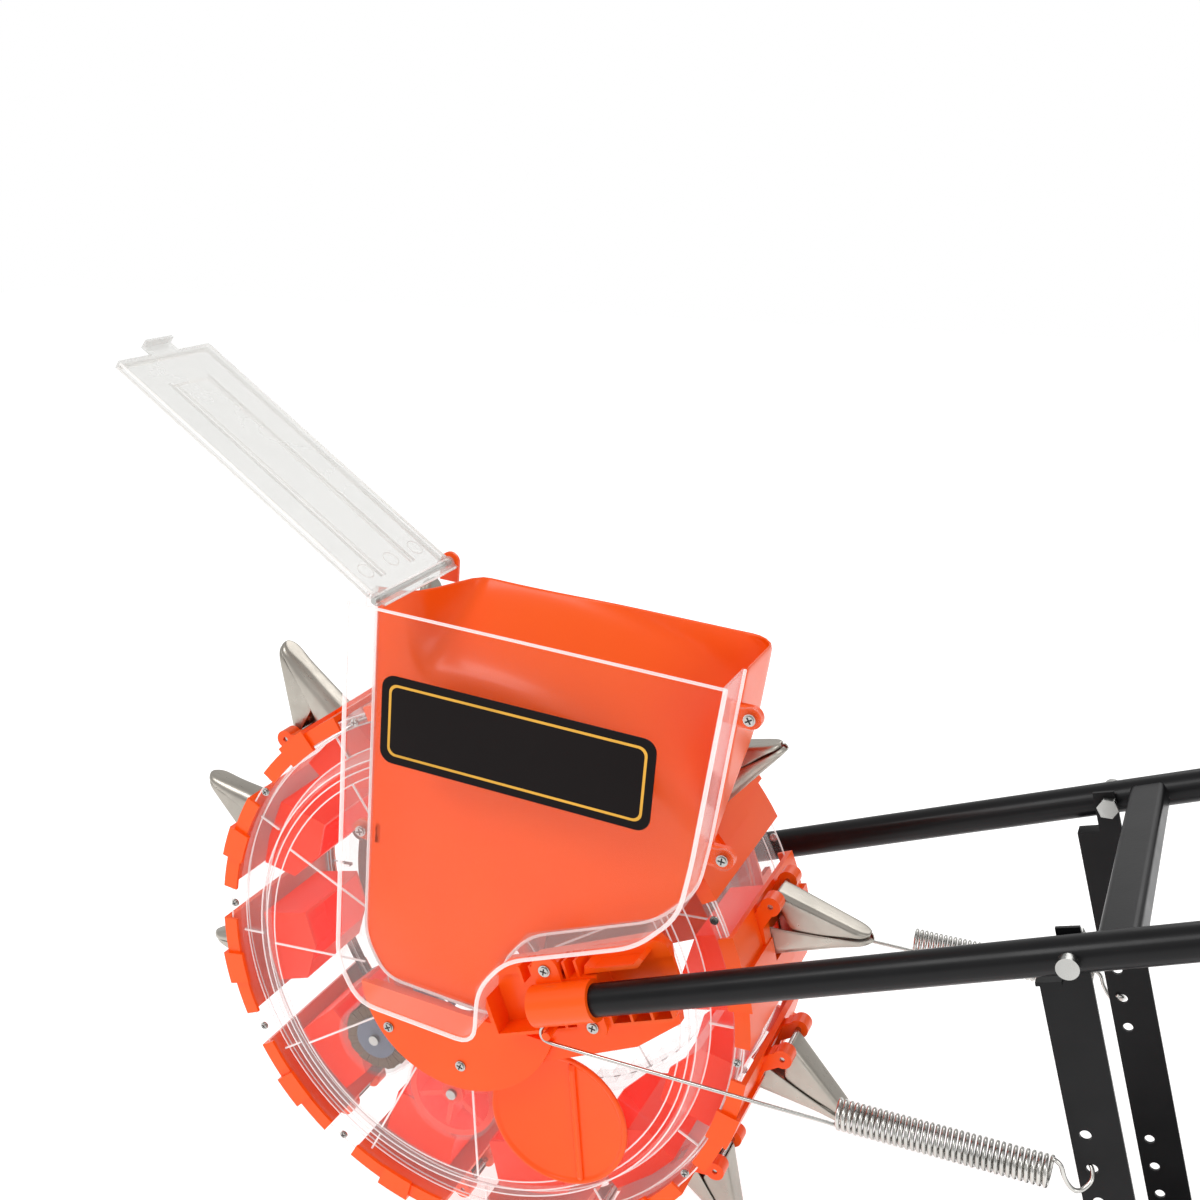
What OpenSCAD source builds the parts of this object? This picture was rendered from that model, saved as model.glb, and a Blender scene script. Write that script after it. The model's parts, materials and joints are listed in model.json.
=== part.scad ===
// Hand-pushed punch seeder: a clear seed drum with twelve duckbill beaks, a side
// hopper, a tube fork handle and a sprung press wheel. +X runs back to the handle,
// -Y is the hopper side, +Z is up, and the origin is the axle at the drum's middle.

/* [Drum] */
// Radius over the beak tips
tip_r = 282; // [276:1:288]
// Radius of the clear drum's rim lips
rim_r = 207; // [200:1:210]
// Half width of the drum over its dished faces
drum_half_w = 72; // [68:1:73]
// Radius of the raised dish on each face
dish_r = 175; // [162:1:178]
// How far the outer ring is set back from the dish
ring_recess = 14; // [8:1:18]
// Wall of the moulded drum faces
face_wall = 2.5; // [2:0.25:3.5]
// Angle of the first beak tip above the rear
tip_phase = 12; // [0:1:29]

/* [Beaks] */
// Half width of the fixed beak
beak_half_w = 13.2; // [10:0.2:16]
// Sheet thickness of the beaks
beak_sheet = 1.4; // [1:0.1:2.2]
// Radius of the beak hinge pin
pin_r = 2; // [1.5:0.1:3]
// Radius at which the beak hinge sits
hinge_r = 222; // [219:1:226]
// Offset of the beak hinge towards the trailing side
hinge_off = 36; // [32:1:38]

/* [Axle and hub] */
// Outer radius of the hollow axle
axle_r = 8; // [7:0.25:9]
// Bore radius of the hollow axle
axle_bore_r = 5.1; // [4:0.1:6]
// Radius of the fixed hub that the near face turns on
hub_r = 62; // [58:1:63]
// Radius of the half-round hub cap
cap_r = 78; // [74:1:84]
// Outer radius of the far ball bearing
bearing_r = 17.5; // [15:0.5:20]
// Width of the far ball bearing
bearing_w = 10; // [8:0.5:12]

/* [Seed metering] */
// Teeth on the ring gear
ring_teeth = 60; // [60:4:60]
// Gear module, the pitch diameter over the teeth
gear_module = 5; // [5:1:5]
// Radius over the bristles of the brush roller
brush_r = 28; // [20:1:28]
// Radius of the metering wheel
meter_r = 36; // [28:1:37]
// Radius of the fixed roller shafts
shaft_r = 4; // [3:0.5:5]

/* [Hopper] */
// Lean of the hopper towards the handle
hopper_lean = 5; // [0:1:8]
// Height of the hopper's top edge over the axle, along the lean
hopper_top = 286; // [284:1:300]
// Distance of the clear front from the drum's middle
hopper_front = 119; // [112:1:124]
// Distance of the joint between tub and cover
hopper_joint = 80; // [79.5:0.5:84]
// Distance of the tub's deep back wall
hopper_back = 15; // [14.5:0.5:18]
// Wall of the hopper mouldings
hopper_wall = 2.4; // [2:0.2:3]
// Angle that the open lid stands past its closed place
lid_open = 148.8; // [120:1:150]
// Length of the lid past its hinge
lid_len = 238; // [230:1:245]

/* [Handle] */
// Outer radius of the frame tubes
tube_r = 11; // [9:0.5:12.5]
// Wall of the frame tubes
tube_wall = 1.5; // [1:0.25:2.5]
// Half spacing of the two frame tubes
tube_y = 114; // [112:1:120]
// Rise of the lower tubes towards the rear
tube_rise = 19.2; // [15:0.2:24]
// Distance along the lower tube where it ends
tube_len = 660; // [600:5:800]
// Rise of the upper tubes
upper_rise = 58; // [45:1:70]
// Straight length of the upper tubes
upper_len = 430; // [300:5:520]
// Length of the hand grips
grip_len = 125; // [100:1:150]
// Outer radius of the hand grips
grip_r = 15.5; // [14:0.5:18]

/* [Press wheel] */
// Distance of the swing pivot along the lower tube
pivot_s = 435; // [420:1:450]
// Lean of the swing arms to the rear
arm_lean = 15; // [8:1:22]
// Distance from the pivot to the wheel axle
arm_len = 349; // [335:1:360]
// Half spacing of the swing arms
arm_y = 101.5; // [99:0.5:101.5]
// Width of the swing arm's flat
arm_w = 30; // [28:1:34]
// Pitch of the holes along a swing arm
hole_pitch = 22.5; // [18:0.5:24]
// Half width of the press wheel
wheel_half_w = 42; // [35:1:60]
// Radius of the press wheel's axle
wheel_axle_r = 6; // [5:0.5:8]

/* [Springs] */
// Outer radius of the spring coils
coil_r = 10; // [8:0.5:11]
// Wire radius of the springs
wire_r = 1.3; // [1:0.1:1.8]
// Length of the coiled stretch
coil_len = 130; // [110:1:140]

/* [Hidden] */
$fn = 48;
fit = 0.06;                     // radial running clearance of shafts and bores
loose = 0.6;                    // clearance between pieces that only pass each other
stations = 12;                  // beaks round the drum
step = 360 / stations;
face_in = drum_half_w - face_wall;
ring_out = drum_half_w - ring_recess;
ring_in = ring_out - face_wall;
lip_out = ring_out + 8;
floor_z = -tip_r * cos(min(tip_phase, step - tip_phase));
deep_r = tip_r + 4;             // the tub's deep part stays outside this radius
tub_back = drum_half_w + 5.5;   // the tub's low wall stays outside the drum face
arm_front = hopper_joint + 5;   // front of the side arm's base plate
cap_front = arm_front + 4;
block_front = tube_y - 9;       // front of the ribbed block under the tube clamp
block_from = 34;
block_to = 176;
block_half = 25;
clamp_from = 80;
clamp_to = 126;
tube_from = 86;
tube_drop = 3.5;                // the tube's line passes this far under the axle
pivot = [pivot_s * cos(tube_rise), pivot_s * sin(tube_rise) - tube_drop];
arm_rear = 6;                   // how far the arm's rear edge lies behind the pivot
arm_front_edge = arm_rear - arm_w;
hole_line = -15;                // the holes and the wheel axle lie this far from the pivot's line
first_hole = 124;
upper_holes = 3;
lower_holes = 4;                // spare places for the wheel axle
hook_hole = first_hole + hole_pitch;
arm_shoulder = 18.5;            // the arm reaches its full width this far under the pivot
arm_end = 16;                   // how far the arm runs past the wheel axle
arm_sheet = 2.5;
wheel_place = arm_point(arm_len);
wheel_r = wheel_place[1] - floor_z;
cross_s = 462;
upper_bend_r = 80;
grip_bend_r = 60;
grip_rise = 6;
sleeve_len = 60;
lid_hinge = [-59, hopper_top + 4.5];
cover_ears = [[187, 255], [180.5, 156], [-84.5, 102]];
lid_side = 4;                   // gap from the lid's edge to the hopper's outer faces
ring_pitch_r = gear_module * ring_teeth / 2;
brush_teeth = 12;
meter_teeth = 15;
brush_angle = 222;
meter_angle = 258;
brush_c = ring_pitch_r - gear_module * brush_teeth / 2;
meter_c = ring_pitch_r - gear_module * meter_teeth / 2;
gear_y = 45;
gear_w = 11;
chute_in_r = 152.5;
rib_phase = 2;                  // turn of the faces' ribs
door_c = 118;
door_angle = -52;
door_r = 50;
door_lip = 3;
screw_turn = 13.2;              // the drum's screws sit midway between two beak bases
housing_out = 59.5;             // front of the metering housing, behind the hub
housing_in = 30;
spring_peg = [84, 3];           // where the springs hook on the side arms
peg_r = 3;
arm_slack = 0.3;
station_names = [for (i = [1:stations]) str("moving_beak_", i)];

// ---- placing helpers ----

module far_side() { mirror([0, 1, 0]) children(); }

// Turns a lathe drawing with X = radius, Y = distance out from the drum's middle
// into a ring on the near side
module lathe(start = 0, sweep = 360) {
    rotate([90, 0, 0]) rotate([0, 0, start]) rotate_extrude(angle = sweep) children();
}

// Extrudes a side-view drawing from one distance out to another, on the near side
module slab(inner, outer) {
    translate([0, -inner, 0]) rotate([90, 0, 0]) linear_extrude(outer - inner) children();
}

// A round bar across the machine on the near side, between two distances out
module cross_bar(r, inner, outer) { slab(inner, outer) circle(r); }

// Turns local +X to point outwards from the axle at an angle, local +Z follows round
module spoke_at(angle) { rotate([0, -angle, 0]) children(); }

module each_station() {
    for (i = [0:stations - 1]) spoke_at(tip_phase + step * i) children();
}

module leaned() { rotate([0, hopper_lean, 0]) children(); }

// Local +X runs up the near lower tube from below the axle
module on_tube() {
    translate([0, -tube_y, -tube_drop]) rotate([0, -tube_rise, 0]) children();
}

// A side view drawn along the tube's line, extruded between two distances out
module tube_slab(inner, outer) {
    translate([0, 0, -tube_drop]) rotate([0, -tube_rise, 0]) slab(inner, outer) children();
}

// Local -Z runs down the swing arm from the pivot
module at_pivot() {
    translate([pivot[0], 0, pivot[1]]) rotate([0, -arm_lean, 0]) children();
}

module at_wheel() { at_pivot() translate([hole_line, 0, -arm_len]) children(); }

module pipe(r, wall, length) {
    difference() {
        cylinder(r = r, h = length);
        translate([0, 0, -1]) cylinder(r = r - wall, h = length + 2);
    }
}

// ---- handle ----

module lower_tube() {
    difference() {
        on_tube() translate([tube_from, 0, 0]) rotate([0, 90, 0])
            pipe(tube_r, tube_wall, tube_len - tube_from);
        translate([pivot[0], 0, pivot[1]]) cross_bar(4, tube_y - 20, tube_y + 20);
    }
}

module near_lower_tube() { color([0.06, 0.06, 0.07]) lower_tube(); }
module far_lower_tube() { color([0.06, 0.06, 0.07]) far_side() lower_tube(); }

// One bend of a tube in the side plane, from the local origin along +X
module bend(r, bend_r, turn) {
    side = turn > 0 ? 1 : -1;
    translate([0, 0, side * bend_r]) rotate([90, 0, 0]) rotate([0, 0, -90 * side])
        rotate_extrude(angle = turn) translate([bend_r, 0]) circle(r);
}

module after_bend(bend_r, turn) {
    side = turn > 0 ? 1 : -1;
    translate([bend_r * sin(abs(turn)), 0, side * bend_r * (1 - cos(turn))])
        rotate([0, -turn, 0]) children();
}

module rod(r, length) { rotate([0, 90, 0]) cylinder(r = r, h = length); }

// Children are placed at the start of the grip stretch
module at_grip() {
    on_tube() translate([tube_len, 0, 0])
        after_bend(upper_bend_r, upper_rise - tube_rise)
            translate([upper_len, 0, 0])
                after_bend(grip_bend_r, grip_rise - upper_rise) children();
}

// The straights are a hair thicker than the bends and run a little way into them
module upper_path(r, past) {
    hair = 0.05;
    lap = 0.5;
    on_tube() translate([tube_len, 0, 0]) {
        bend(r - hair, upper_bend_r, upper_rise - tube_rise);
        after_bend(upper_bend_r, upper_rise - tube_rise) {
            translate([-lap, 0, 0]) rod(r, upper_len + 2 * lap);
            translate([upper_len, 0, 0])
                bend(r - hair, grip_bend_r, grip_rise - upper_rise);
        }
    }
    at_grip() translate([-lap, 0, 0]) rod(r, grip_len - 4 + lap + past);
}

module upper_tube() {
    lap = 0.4;
    difference() {
        union() {
            upper_path(tube_r, 0);
            on_tube() translate([tube_len - sleeve_len, 0, 0])
                rod(tube_r + 2.2, sleeve_len + lap);
        }
        upper_path(tube_r - tube_wall, 1);
        on_tube() translate([tube_len - sleeve_len - 1, 0, 0]) rod(tube_r + 0.2, sleeve_len + 1);
    }
}

module near_upper_tube() { color([0.06, 0.06, 0.07]) upper_tube(); }
module far_upper_tube() { color([0.06, 0.06, 0.07]) far_side() upper_tube(); }

module grip() {
    at_grip() rotate([0, 90, 0]) rotate_extrude() polygon(concat(
        [[tube_r + 0.1, 0], [tube_r + 0.1, grip_len - 3.5], [0, grip_len - 3.5], [0, grip_len],
         [grip_r - 2, grip_len], [grip_r, grip_len - 2]],
        [for (i = [8:-1:1]) each [[grip_r, 12 * i + 8], [grip_r - 1.2, 12 * i + 6],
                                  [grip_r - 1.2, 12 * i + 3], [grip_r, 12 * i + 1]]],
        [[grip_r, 8], [grip_r + 3, 6], [grip_r + 3, 0]]));
}

module near_grip() { color([0.1, 0.1, 0.1]) grip(); }
module far_grip() { color([0.1, 0.1, 0.1]) far_side() grip(); }

// Flat-sided tube across the fork, cut to sit on both round tubes
module front_cross_tube() {
    color([0.06, 0.06, 0.07]) difference() {
        translate([0, 0, -tube_drop]) rotate([0, -tube_rise, 0])
            translate([cross_s, 0, 0]) rotate([90, 0, 0]) linear_extrude(2 * tube_y, center = true)
                difference() {
                    rounded_box(12, 8.5, 4);
                    rounded_box(10.5, 7, 2.5);
                }
        for (m = [0, 1]) mirror([0, m, 0])
            on_tube() translate([cross_s - 40, 0, 0]) rotate([0, 90, 0])
                cylinder(r = tube_r, h = 80);
    }
}

module rounded_box(half_l, half_w, r) {
    square([2 * half_l, 2 * (half_w - r)], center = true);
    square([2 * (half_l - r), 2 * half_w], center = true);
    for (x = [-1, 1], y = [-1, 1]) translate([x * (half_l - r), y * (half_w - r)]) circle(r);
}

module top_cross_tube() {
    color([0.06, 0.06, 0.07]) difference() {
        on_tube() translate([tube_len, 0, 0]) after_bend(upper_bend_r, upper_rise - tube_rise)
            translate([upper_len * 0.55, tube_y, 0]) rotate([90, 0, 0])
                translate([0, 0, -tube_y]) pipe(9, tube_wall, 2 * tube_y);
        for (m = [0, 1]) mirror([0, m, 0])
            on_tube() translate([tube_len, 0, 0]) after_bend(upper_bend_r, upper_rise - tube_rise)
                rotate([0, 90, 0]) cylinder(r = tube_r, h = upper_len);
    }
}

// ---- side arms, hubs and axle ----

// Base plate outline in the leaned hopper frame, clear of the hopper's lower edge
module arm_outline(hub_hole) {
    difference() {
        union() {
            polygon([[0, -cap_r + 6], [24, -60], [138, 2], [166, 30], [152, 84], [142, 90],
                     [58, 48], [40, 30], [36, -18], [0, -18]]);
            intersection() {
                circle(cap_r - 4);
                translate([-100, -118]) square([200, 100]);
            }
        }
        circle(hub_hole);
    }
}

// Side view of the block under the tube clamp, in the tube's frame
module block_outline() {
    corner = 8;
    translate([block_from, -block_half]) square([block_to - corner - block_from, 2 * block_half]);
    translate([block_to - corner - 1, corner - block_half])
        square([corner + 1, 2 * (block_half - corner)]);
    for (s = [-1, 1]) translate([block_to - corner, s * (block_half - corner)]) circle(corner);
}

// Round post with cross ribs under one ear of the tube clamp
module ear_post(place, up) {
    translate([place[0], up * place[1]]) circle(9.5);
    for (x = [-22, -13, 13, 22]) translate([place[0] + x - 1, up > 0 ? 12.9 : -block_half])
        square([2, block_half - 12.9]);
}

module arm_block() {
    open_h = 13;
    pocket_w = 13.3;
    difference() {
        tube_slab(arm_front - 1, block_front) block_outline();
        // open channel along the tube, left solid only under the clamp
        for (span = [[block_from + 3, clamp_from - 1], [clamp_to + 1, block_to + 1]])
            tube_slab(arm_front + 2, block_front + 1) translate([span[0], -open_h])
                square([span[1] - span[0], 2 * open_h]);
        // flat plate over the tube with the clamp's ear left standing
        tube_slab(arm_front + 4, block_front + 1) difference() {
            translate([block_from - 1, open_h]) square([block_to - block_from + 2, 20]);
            ear_post([clamp_from + 12, 22], 1);
        }
        // rounded hollow beside the lower ear, then a row of ribbed pockets
        tube_slab(arm_front + 2, block_front + 1) {
            difference() {
                translate([block_from + 3, -block_half + 2.5])
                    square([clamp_to - block_from - 6, block_half - open_h - 2.4]);
                ear_post([clamp_to - 12, 22], -1);
            }
            for (i = [0:2]) translate([clamp_to + 2 + i * (pocket_w + 2), -block_half + 2.5])
                square([pocket_w, block_half - open_h]);
        }
        on_tube() translate([tube_from - 8, 0, 0]) rotate([0, 90, 0])
            cylinder(r = tube_r + 0.1, h = block_to);
    }
    // slanted lip over the tube
    tube_slab(arm_front + 3, block_front - 1) translate([clamp_to - 8, tube_r + 3.5])
        polygon([[0, 0], [40, 0], [46, 5], [43, 7], [38, 3], [8, 3], [2, 6]]);
    translate([spring_peg[0], 0, spring_peg[1]]) cross_bar(peg_r, arm_front, tube_y + 3);
}

module near_side_arm() {
    color([1, 0.32, 0.06]) difference() {
        union() {
            leaned() slab(tub_back, arm_front) arm_outline(20);
            difference() {
                arm_block();
                leaned() slab(0, 200) hopper_outline(1);
            }
        }
        leaned() slab(tub_back - 1, hopper_joint + 0.3) hopper_outline(1);
    }
}

module far_side_arm() {
    color([1, 0.32, 0.06]) far_side() {
        difference() {
            leaned() slab(tub_back, arm_front) union() {
                polygon([[0, -cap_r + 6], [24, -60], [138, 2], [166, 30], [152, 84],
                         [142, 90], [58, 48], [0, 60]]);
                circle(60);
            }
            cross_bar(axle_r + 0.05, 0, 200);
        }
        arm_block();
    }
}

// Saddle that holds the tube down on its block
module tube_clamp() {
    difference() {
        union() {
            on_tube() translate([clamp_from, 0, 0]) rotate([0, 90, 0])
                cylinder(r = tube_r + 3.2, h = clamp_to - clamp_from);
            for (end = [[clamp_from + 12, 1], [clamp_to - 12, -1]])
                tube_slab(block_front, block_front + 3.5) translate([end[0], end[1] * 10]) {
                    translate([-10, end[1] > 0 ? 0 : -12]) square([20, 12]);
                    translate([0, end[1] * 12]) circle(10);
                }
        }
        on_tube() translate([clamp_from - 1, 0, 0]) rotate([0, 90, 0])
            cylinder(r = tube_r + 0.1, h = clamp_to);
        tube_slab(0, block_front) square(1000, center = true);
    }
}

module near_tube_clamp() { color([1, 0.36, 0.06]) tube_clamp(); }
module far_tube_clamp() { color([1, 0.36, 0.06]) far_side() tube_clamp(); }

module axle() {
    color([0.75, 0.76, 0.78]) translate([0, cap_front, 0]) rotate([90, 0, 0])
        pipe(axle_r, axle_r - axle_bore_r, cap_front + drum_half_w - 3);
}

// Fixed hub: the near face turns on its sleeve, seed passes inside it
module near_hub() {
    color([0.93, 0.28, 0.06]) {
        slab(housing_out + 0.5, tub_back) difference() {
            circle(hub_r);
            circle(hub_r - 4);
        }
        slab(housing_out + 0.5, housing_out + 9) difference() {
            union() {
                circle(14);
                for (a = [60, 180, 300]) rotate(a) translate([12, -2]) square([hub_r - 15, 4]);
            }
            circle(axle_r + 0.05);
        }
    }
}

module near_hub_cap() {
    color([1, 0.3, 0.05]) leaned() slab(arm_front, cap_front) intersection() {
        circle(cap_r);
        translate([-100, -115]) square([200, 100]);
    }
}

module far_hub_cap() {
    color([1, 0.3, 0.05]) far_side() slab(arm_front, cap_front) difference() {
        circle(31);
        circle(axle_r + 0.05);
    }
}

// ---- hopper ----

// Side outline of the hopper in its leaned frame, drawn in by d
module hopper_outline(grow = 0, top = 0) {
    offset(r = grow) offset(r = 14) offset(delta = -14) polygon([
        [-79, hopper_top + 60], [-79, 18], [-61, -11], [31, -14], [31, 30], [50, 58],
        [140, 98], [166, 128], [171, 164], [180, hopper_top], [182, hopper_top + 60]]);
}

module hopper_side(grow = 0, raise = 0) {
    intersection() {
        hopper_outline(grow);
        translate([-200, -100]) square([500, 100 + hopper_top + raise]);
    }
}

// Round screw ear with a web to the hopper's side
module cover_ear(place) {
    web = 14;
    difference() {
        union() {
            translate(place) circle(7.5);
            translate([place[0] - (place[0] > 0 ? web : 0), place[1] - 6]) square([web, 12]);
        }
        hopper_side();
        translate(place) circle(1.6);
    }
}

module hopper_tub() {
    color([1, 0.33, 0.05]) leaned() {
        difference() {
            slab(hopper_back, hopper_joint) hopper_side();
            cross_bar(deep_r, 0, tub_back);
            difference() {
                slab(hopper_back + hopper_wall, hopper_joint + 1) hopper_side(-hopper_wall, 5);
                cross_bar(deep_r + hopper_wall, 0, hopper_joint + 2);
            }
            slab(0, 200) translate([-44, -9]) square([60, 31]);
        }
        // ears for the cover's screws and for the lid's pin
        for (p = cover_ears) slab(hopper_joint - 4, hopper_joint) cover_ear(p);
        slab(hopper_back, hopper_back + hopper_wall) difference() {
            union() {
                translate(lid_hinge) circle(7);
                translate([lid_hinge[0] - 7, hopper_top - 0.2]) square([14, 4]);
            }
            translate(lid_hinge) circle(pin_r + 0.03);
            translate([-200, hopper_top - 100.2]) square([400, 100]);
        }
    }
}

module hopper_cover() {
    color([0.85, 0.9, 0.95, 0.35]) leaned() {
        difference() {
            slab(hopper_joint, hopper_front) hopper_side();
            slab(hopper_joint - 1, hopper_front - 2) hopper_side(-2, 5);
        }
        for (p = cover_ears) slab(hopper_joint, hopper_joint + 3) cover_ear(p);
        slab(hopper_front - 2, hopper_front) difference() {
            union() {
                translate(lid_hinge) circle(6);
                translate([lid_hinge[0] - 6, hopper_top - 0.2]) square([12, 4]);
            }
            translate(lid_hinge) circle(pin_r + 0.03);
            translate([-200, hopper_top - 100.2]) square([400, 100]);
        }
    }
}

module badge_plate() {
    color([0.05, 0.04, 0.04]) leaned() slab(hopper_front, hopper_front + 0.8)
        translate([46, 212]) offset(r = 8) square([176, 46], center = true);
}

module hinge_pin() {
    color([0.75, 0.76, 0.78]) leaned() translate([lid_hinge[0], 0, lid_hinge[1]])
        cross_bar(pin_r, hopper_back, hopper_front);
}

// Local +X runs along the lid from its hinge, local +Z is its upper face
module at_lid() {
    leaned() translate([lid_hinge[0], 0, lid_hinge[1]]) rotate([0, -lid_open, 0]) children();
}

module lid() {
    near = hopper_front - lid_side;
    far = hopper_back + lid_side;
    lip = 7;
    color([0.85, 0.9, 0.95, 0.35]) at_lid() difference() {
        union() {
            slab(far, near) polygon([[-lip, -2.2], [lid_len, -2.2], [lid_len, 0], [-lip, 0]]);
            for (y = [far, near - 1.6]) slab(y, y + 1.6)
                polygon([[6, -0.5], [lid_len, -0.5], [lid_len, 3.5], [6, 3.5]]);
            slab(far, near) translate([lid_len - 1.6, -0.5]) square([1.6, 4]);
            for (y = [far + 26, near - 28]) slab(y, y + 2) translate([14, -0.5])
                square([lid_len - 40, 2.3]);
            slab(far + 34, near - 34) translate([lid_len - 0.5, -2.2]) square([10, 2.2]);
            slab(far + 34, near - 34) translate([lid_len + 7.5, -7]) square([2, 6]);
            for (y = [far, near - 9]) cross_bar(4.5, y, y + 9);
        }
        cross_bar(pin_r + fit, 0, 200);
    }
}

// ---- fasteners ----

// Pan head of a screw, standing outwards on the near side
module screw_head(head_r, out) {
    slab(out, out + 1.2) circle(head_r);
    slab(out + 1.2, out + 2.2) circle(head_r * 0.75);
}

module body_screws() {
    color([0.78, 0.79, 0.8]) {
        leaned() {
            for (p = cover_ears) translate([p[0], 0, p[1]]) {
                screw_head(4, hopper_joint + 3);
                slab(hopper_joint - 3.8, hopper_joint + 3.1) circle(1.55);
            }
            for (p = [[-52, -46], [8, -58]]) translate([p[0], 0, p[1]])
                screw_head(4, cap_front);
        }
        for (m = [0, 1]) mirror([0, m, 0])
            for (end = [[clamp_from + 12, 22], [clamp_to - 12, -22]])
                translate([0, 0, -tube_drop]) rotate([0, -tube_rise, 0])
                    translate([end[0], 0, end[1]]) screw_head(4.2, block_front + 3.5);
    }
}

module frame_bolts() {
    color([0.7, 0.71, 0.73]) for (m = [0, 1], s = [18, 42]) mirror([0, m, 0])
        translate([0, 0, -tube_drop]) rotate([0, -tube_rise, 0])
            translate([tube_len - s, 0, 0]) {
                slab(tube_y + tube_r + 2.2, tube_y + tube_r + 6) circle(5);
                slab(tube_y - tube_r - 6, tube_y - tube_r - 2.2) circle(5.5, $fn = 6);
            }
}

module pivot_bolts() {
    color([0.75, 0.76, 0.78]) for (m = [0, 1]) mirror([0, m, 0])
        translate([pivot[0], 0, pivot[1]]) {
            slab(arm_y - 9, tube_y + tube_r + 2) circle(3.95);
            slab(tube_y + tube_r + 0.2, tube_y + tube_r + 7) circle(6.6);
            slab(arm_y - 9, arm_y - arm_sheet - arm_slack) circle(7.4, $fn = 6);
        }
}

// ---- metering ----

module toothed(pitch_r, teeth, tip, root) {
    pitch = 360 / teeth;
    wide = pitch_r * PI / teeth * 0.8;
    circle(root + 0.01);
    for (i = [0:teeth - 1]) rotate(i * pitch)
        polygon([[root - 1, -wide * 0.62], [tip, -wide * 0.26],
                 [tip, wide * 0.26], [root - 1, wide * 0.62]]);
}

module ring_gear() {
    pitch = 360 / ring_teeth;
    wide = ring_pitch_r * PI / ring_teeth * 0.8;
    color([0.9, 0.3, 0.08]) far_side() {
        slab(gear_y, face_in) difference() {
            circle(ring_pitch_r + 13);
            circle(ring_pitch_r + 7);
        }
        slab(gear_y, gear_y + gear_w) difference() {
            union() {
                difference() {
                    circle(ring_pitch_r + 7.5);
                    circle(ring_pitch_r + 6);
                }
                for (i = [0:ring_teeth - 1]) rotate((i + 0.5) * pitch)
                    polygon([[ring_pitch_r + 6.8, -wide * 0.6], [ring_pitch_r - 3.5, -wide * 0.26],
                             [ring_pitch_r - 3.5, wide * 0.26], [ring_pitch_r + 6.8, wide * 0.6]]);
            }
        }
    }
}

module at_roller(angle, centre) { spoke_at(angle) translate([centre, 0, 0]) children(); }

module brush_core() {
    color([0.45, 0.5, 0.6]) at_roller(brush_angle, brush_c) difference() {
        union() {
            slab(housing_in + 6, housing_out - 4) circle(brush_r * 0.6);
            far_side() slab(-housing_in - 7, gear_y + 6.5) circle(8);
            far_side() slab(gear_y + 6, gear_y + 10)
                toothed(gear_module * brush_teeth / 2, brush_teeth,
                        gear_module * brush_teeth / 2 + 3.2, gear_module * brush_teeth / 2 - 4.5);
        }
        translate([0, 100, 0]) rotate([90, 0, 0]) cylinder(r = shaft_r + fit, h = 200);
    }
}

module brush_bristles() {
    color([0.55, 0.4, 0.25]) at_roller(brush_angle, brush_c)
        slab(housing_in + 7, housing_out - 5) difference() {
            circle(brush_r);
            circle(brush_r * 0.6);
        }
}

module metering_wheel() {
    pitch_r = gear_module * meter_teeth / 2;
    color([1, 0.35, 0.08]) at_roller(meter_angle, meter_c) difference() {
        union() {
            slab(housing_in + 4, housing_out - 3) difference() {
                circle(meter_r);
                circle(meter_r - 5);
            }
            slab(housing_in + 6, housing_out - 5) for (a = [0:60:300]) rotate(a)
                translate([6, -2]) square([meter_r - 8, 4]);
            slab(housing_in + 5, housing_out - 3) circle(9);
            far_side() slab(-housing_in - 6, gear_y + 1) circle(8);
            far_side() slab(gear_y + 0.5, gear_y + 4.5)
                toothed(pitch_r, meter_teeth, pitch_r + 3.2, pitch_r - 4.5);
        }
        translate([0, 100, 0]) rotate([90, 0, 0]) cylinder(r = shaft_r + fit, h = 200);
        // seed cells in the rim
        for (a = [0:30:330]) rotate([0, -a, 0]) translate([meter_r, 0, 0])
            cross_bar(3.2, housing_in + 7, housing_out - 6);
    }
}

// Side view of the clear housing round both rollers, grown by d
module housing_outline(d = 0) {
    hull() {
        circle(34 + d);
        rotate(brush_angle) translate([brush_c, 0]) circle(brush_r + 0.8 + d);
    }
    hull() {
        circle(34 + d);
        rotate(meter_angle) translate([meter_c, 0]) circle(meter_r + 0.4 + d);
    }
}

module metering_housing() {
    color([0.85, 0.9, 0.95, 0.4]) difference() {
        slab(housing_in, housing_out) housing_outline(1.6);
        slab(housing_in - 1, housing_out - 2) housing_outline();
        slab(0, 100) intersection() {
            circle(30);
            translate([-40, 10]) square([80, 40]);
        }
        for (r = [[brush_angle, brush_c], [meter_angle, meter_c], [0, 0]])
            at_roller(r[0], r[1]) cross_bar(r[1] == 0 ? axle_r + 0.1 : shaft_r + 0.05, 0, 100);
    }
}

module roller_shafts() {
    color([0.75, 0.76, 0.78]) for (r = [[brush_angle, brush_c], [meter_angle, meter_c]])
        at_roller(r[0], r[1]) translate([0, gear_y + 14, 0]) rotate([90, 0, 0])
            cylinder(r = shaft_r, h = gear_y + 14 + housing_out);
}

// Plate on the axle that carries the far ends of both roller shafts
module shaft_bracket() {
    color([0.7, 0.71, 0.73]) far_side() slab(gear_y + 11, gear_y + 14) difference() {
        union() {
            circle(16);
            for (r = [[brush_angle, brush_c], [meter_angle, meter_c]]) rotate(r[0]) {
                translate([0, -9]) square([r[1], 18]);
                translate([r[1], 0]) circle(11);
            }
        }
        circle(axle_r + 0.05);
        for (r = [[brush_angle, brush_c], [meter_angle, meter_c]])
            rotate(r[0]) translate([r[1], 0]) circle(shaft_r + 0.03);
    }
}

// ---- drum ----

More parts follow.
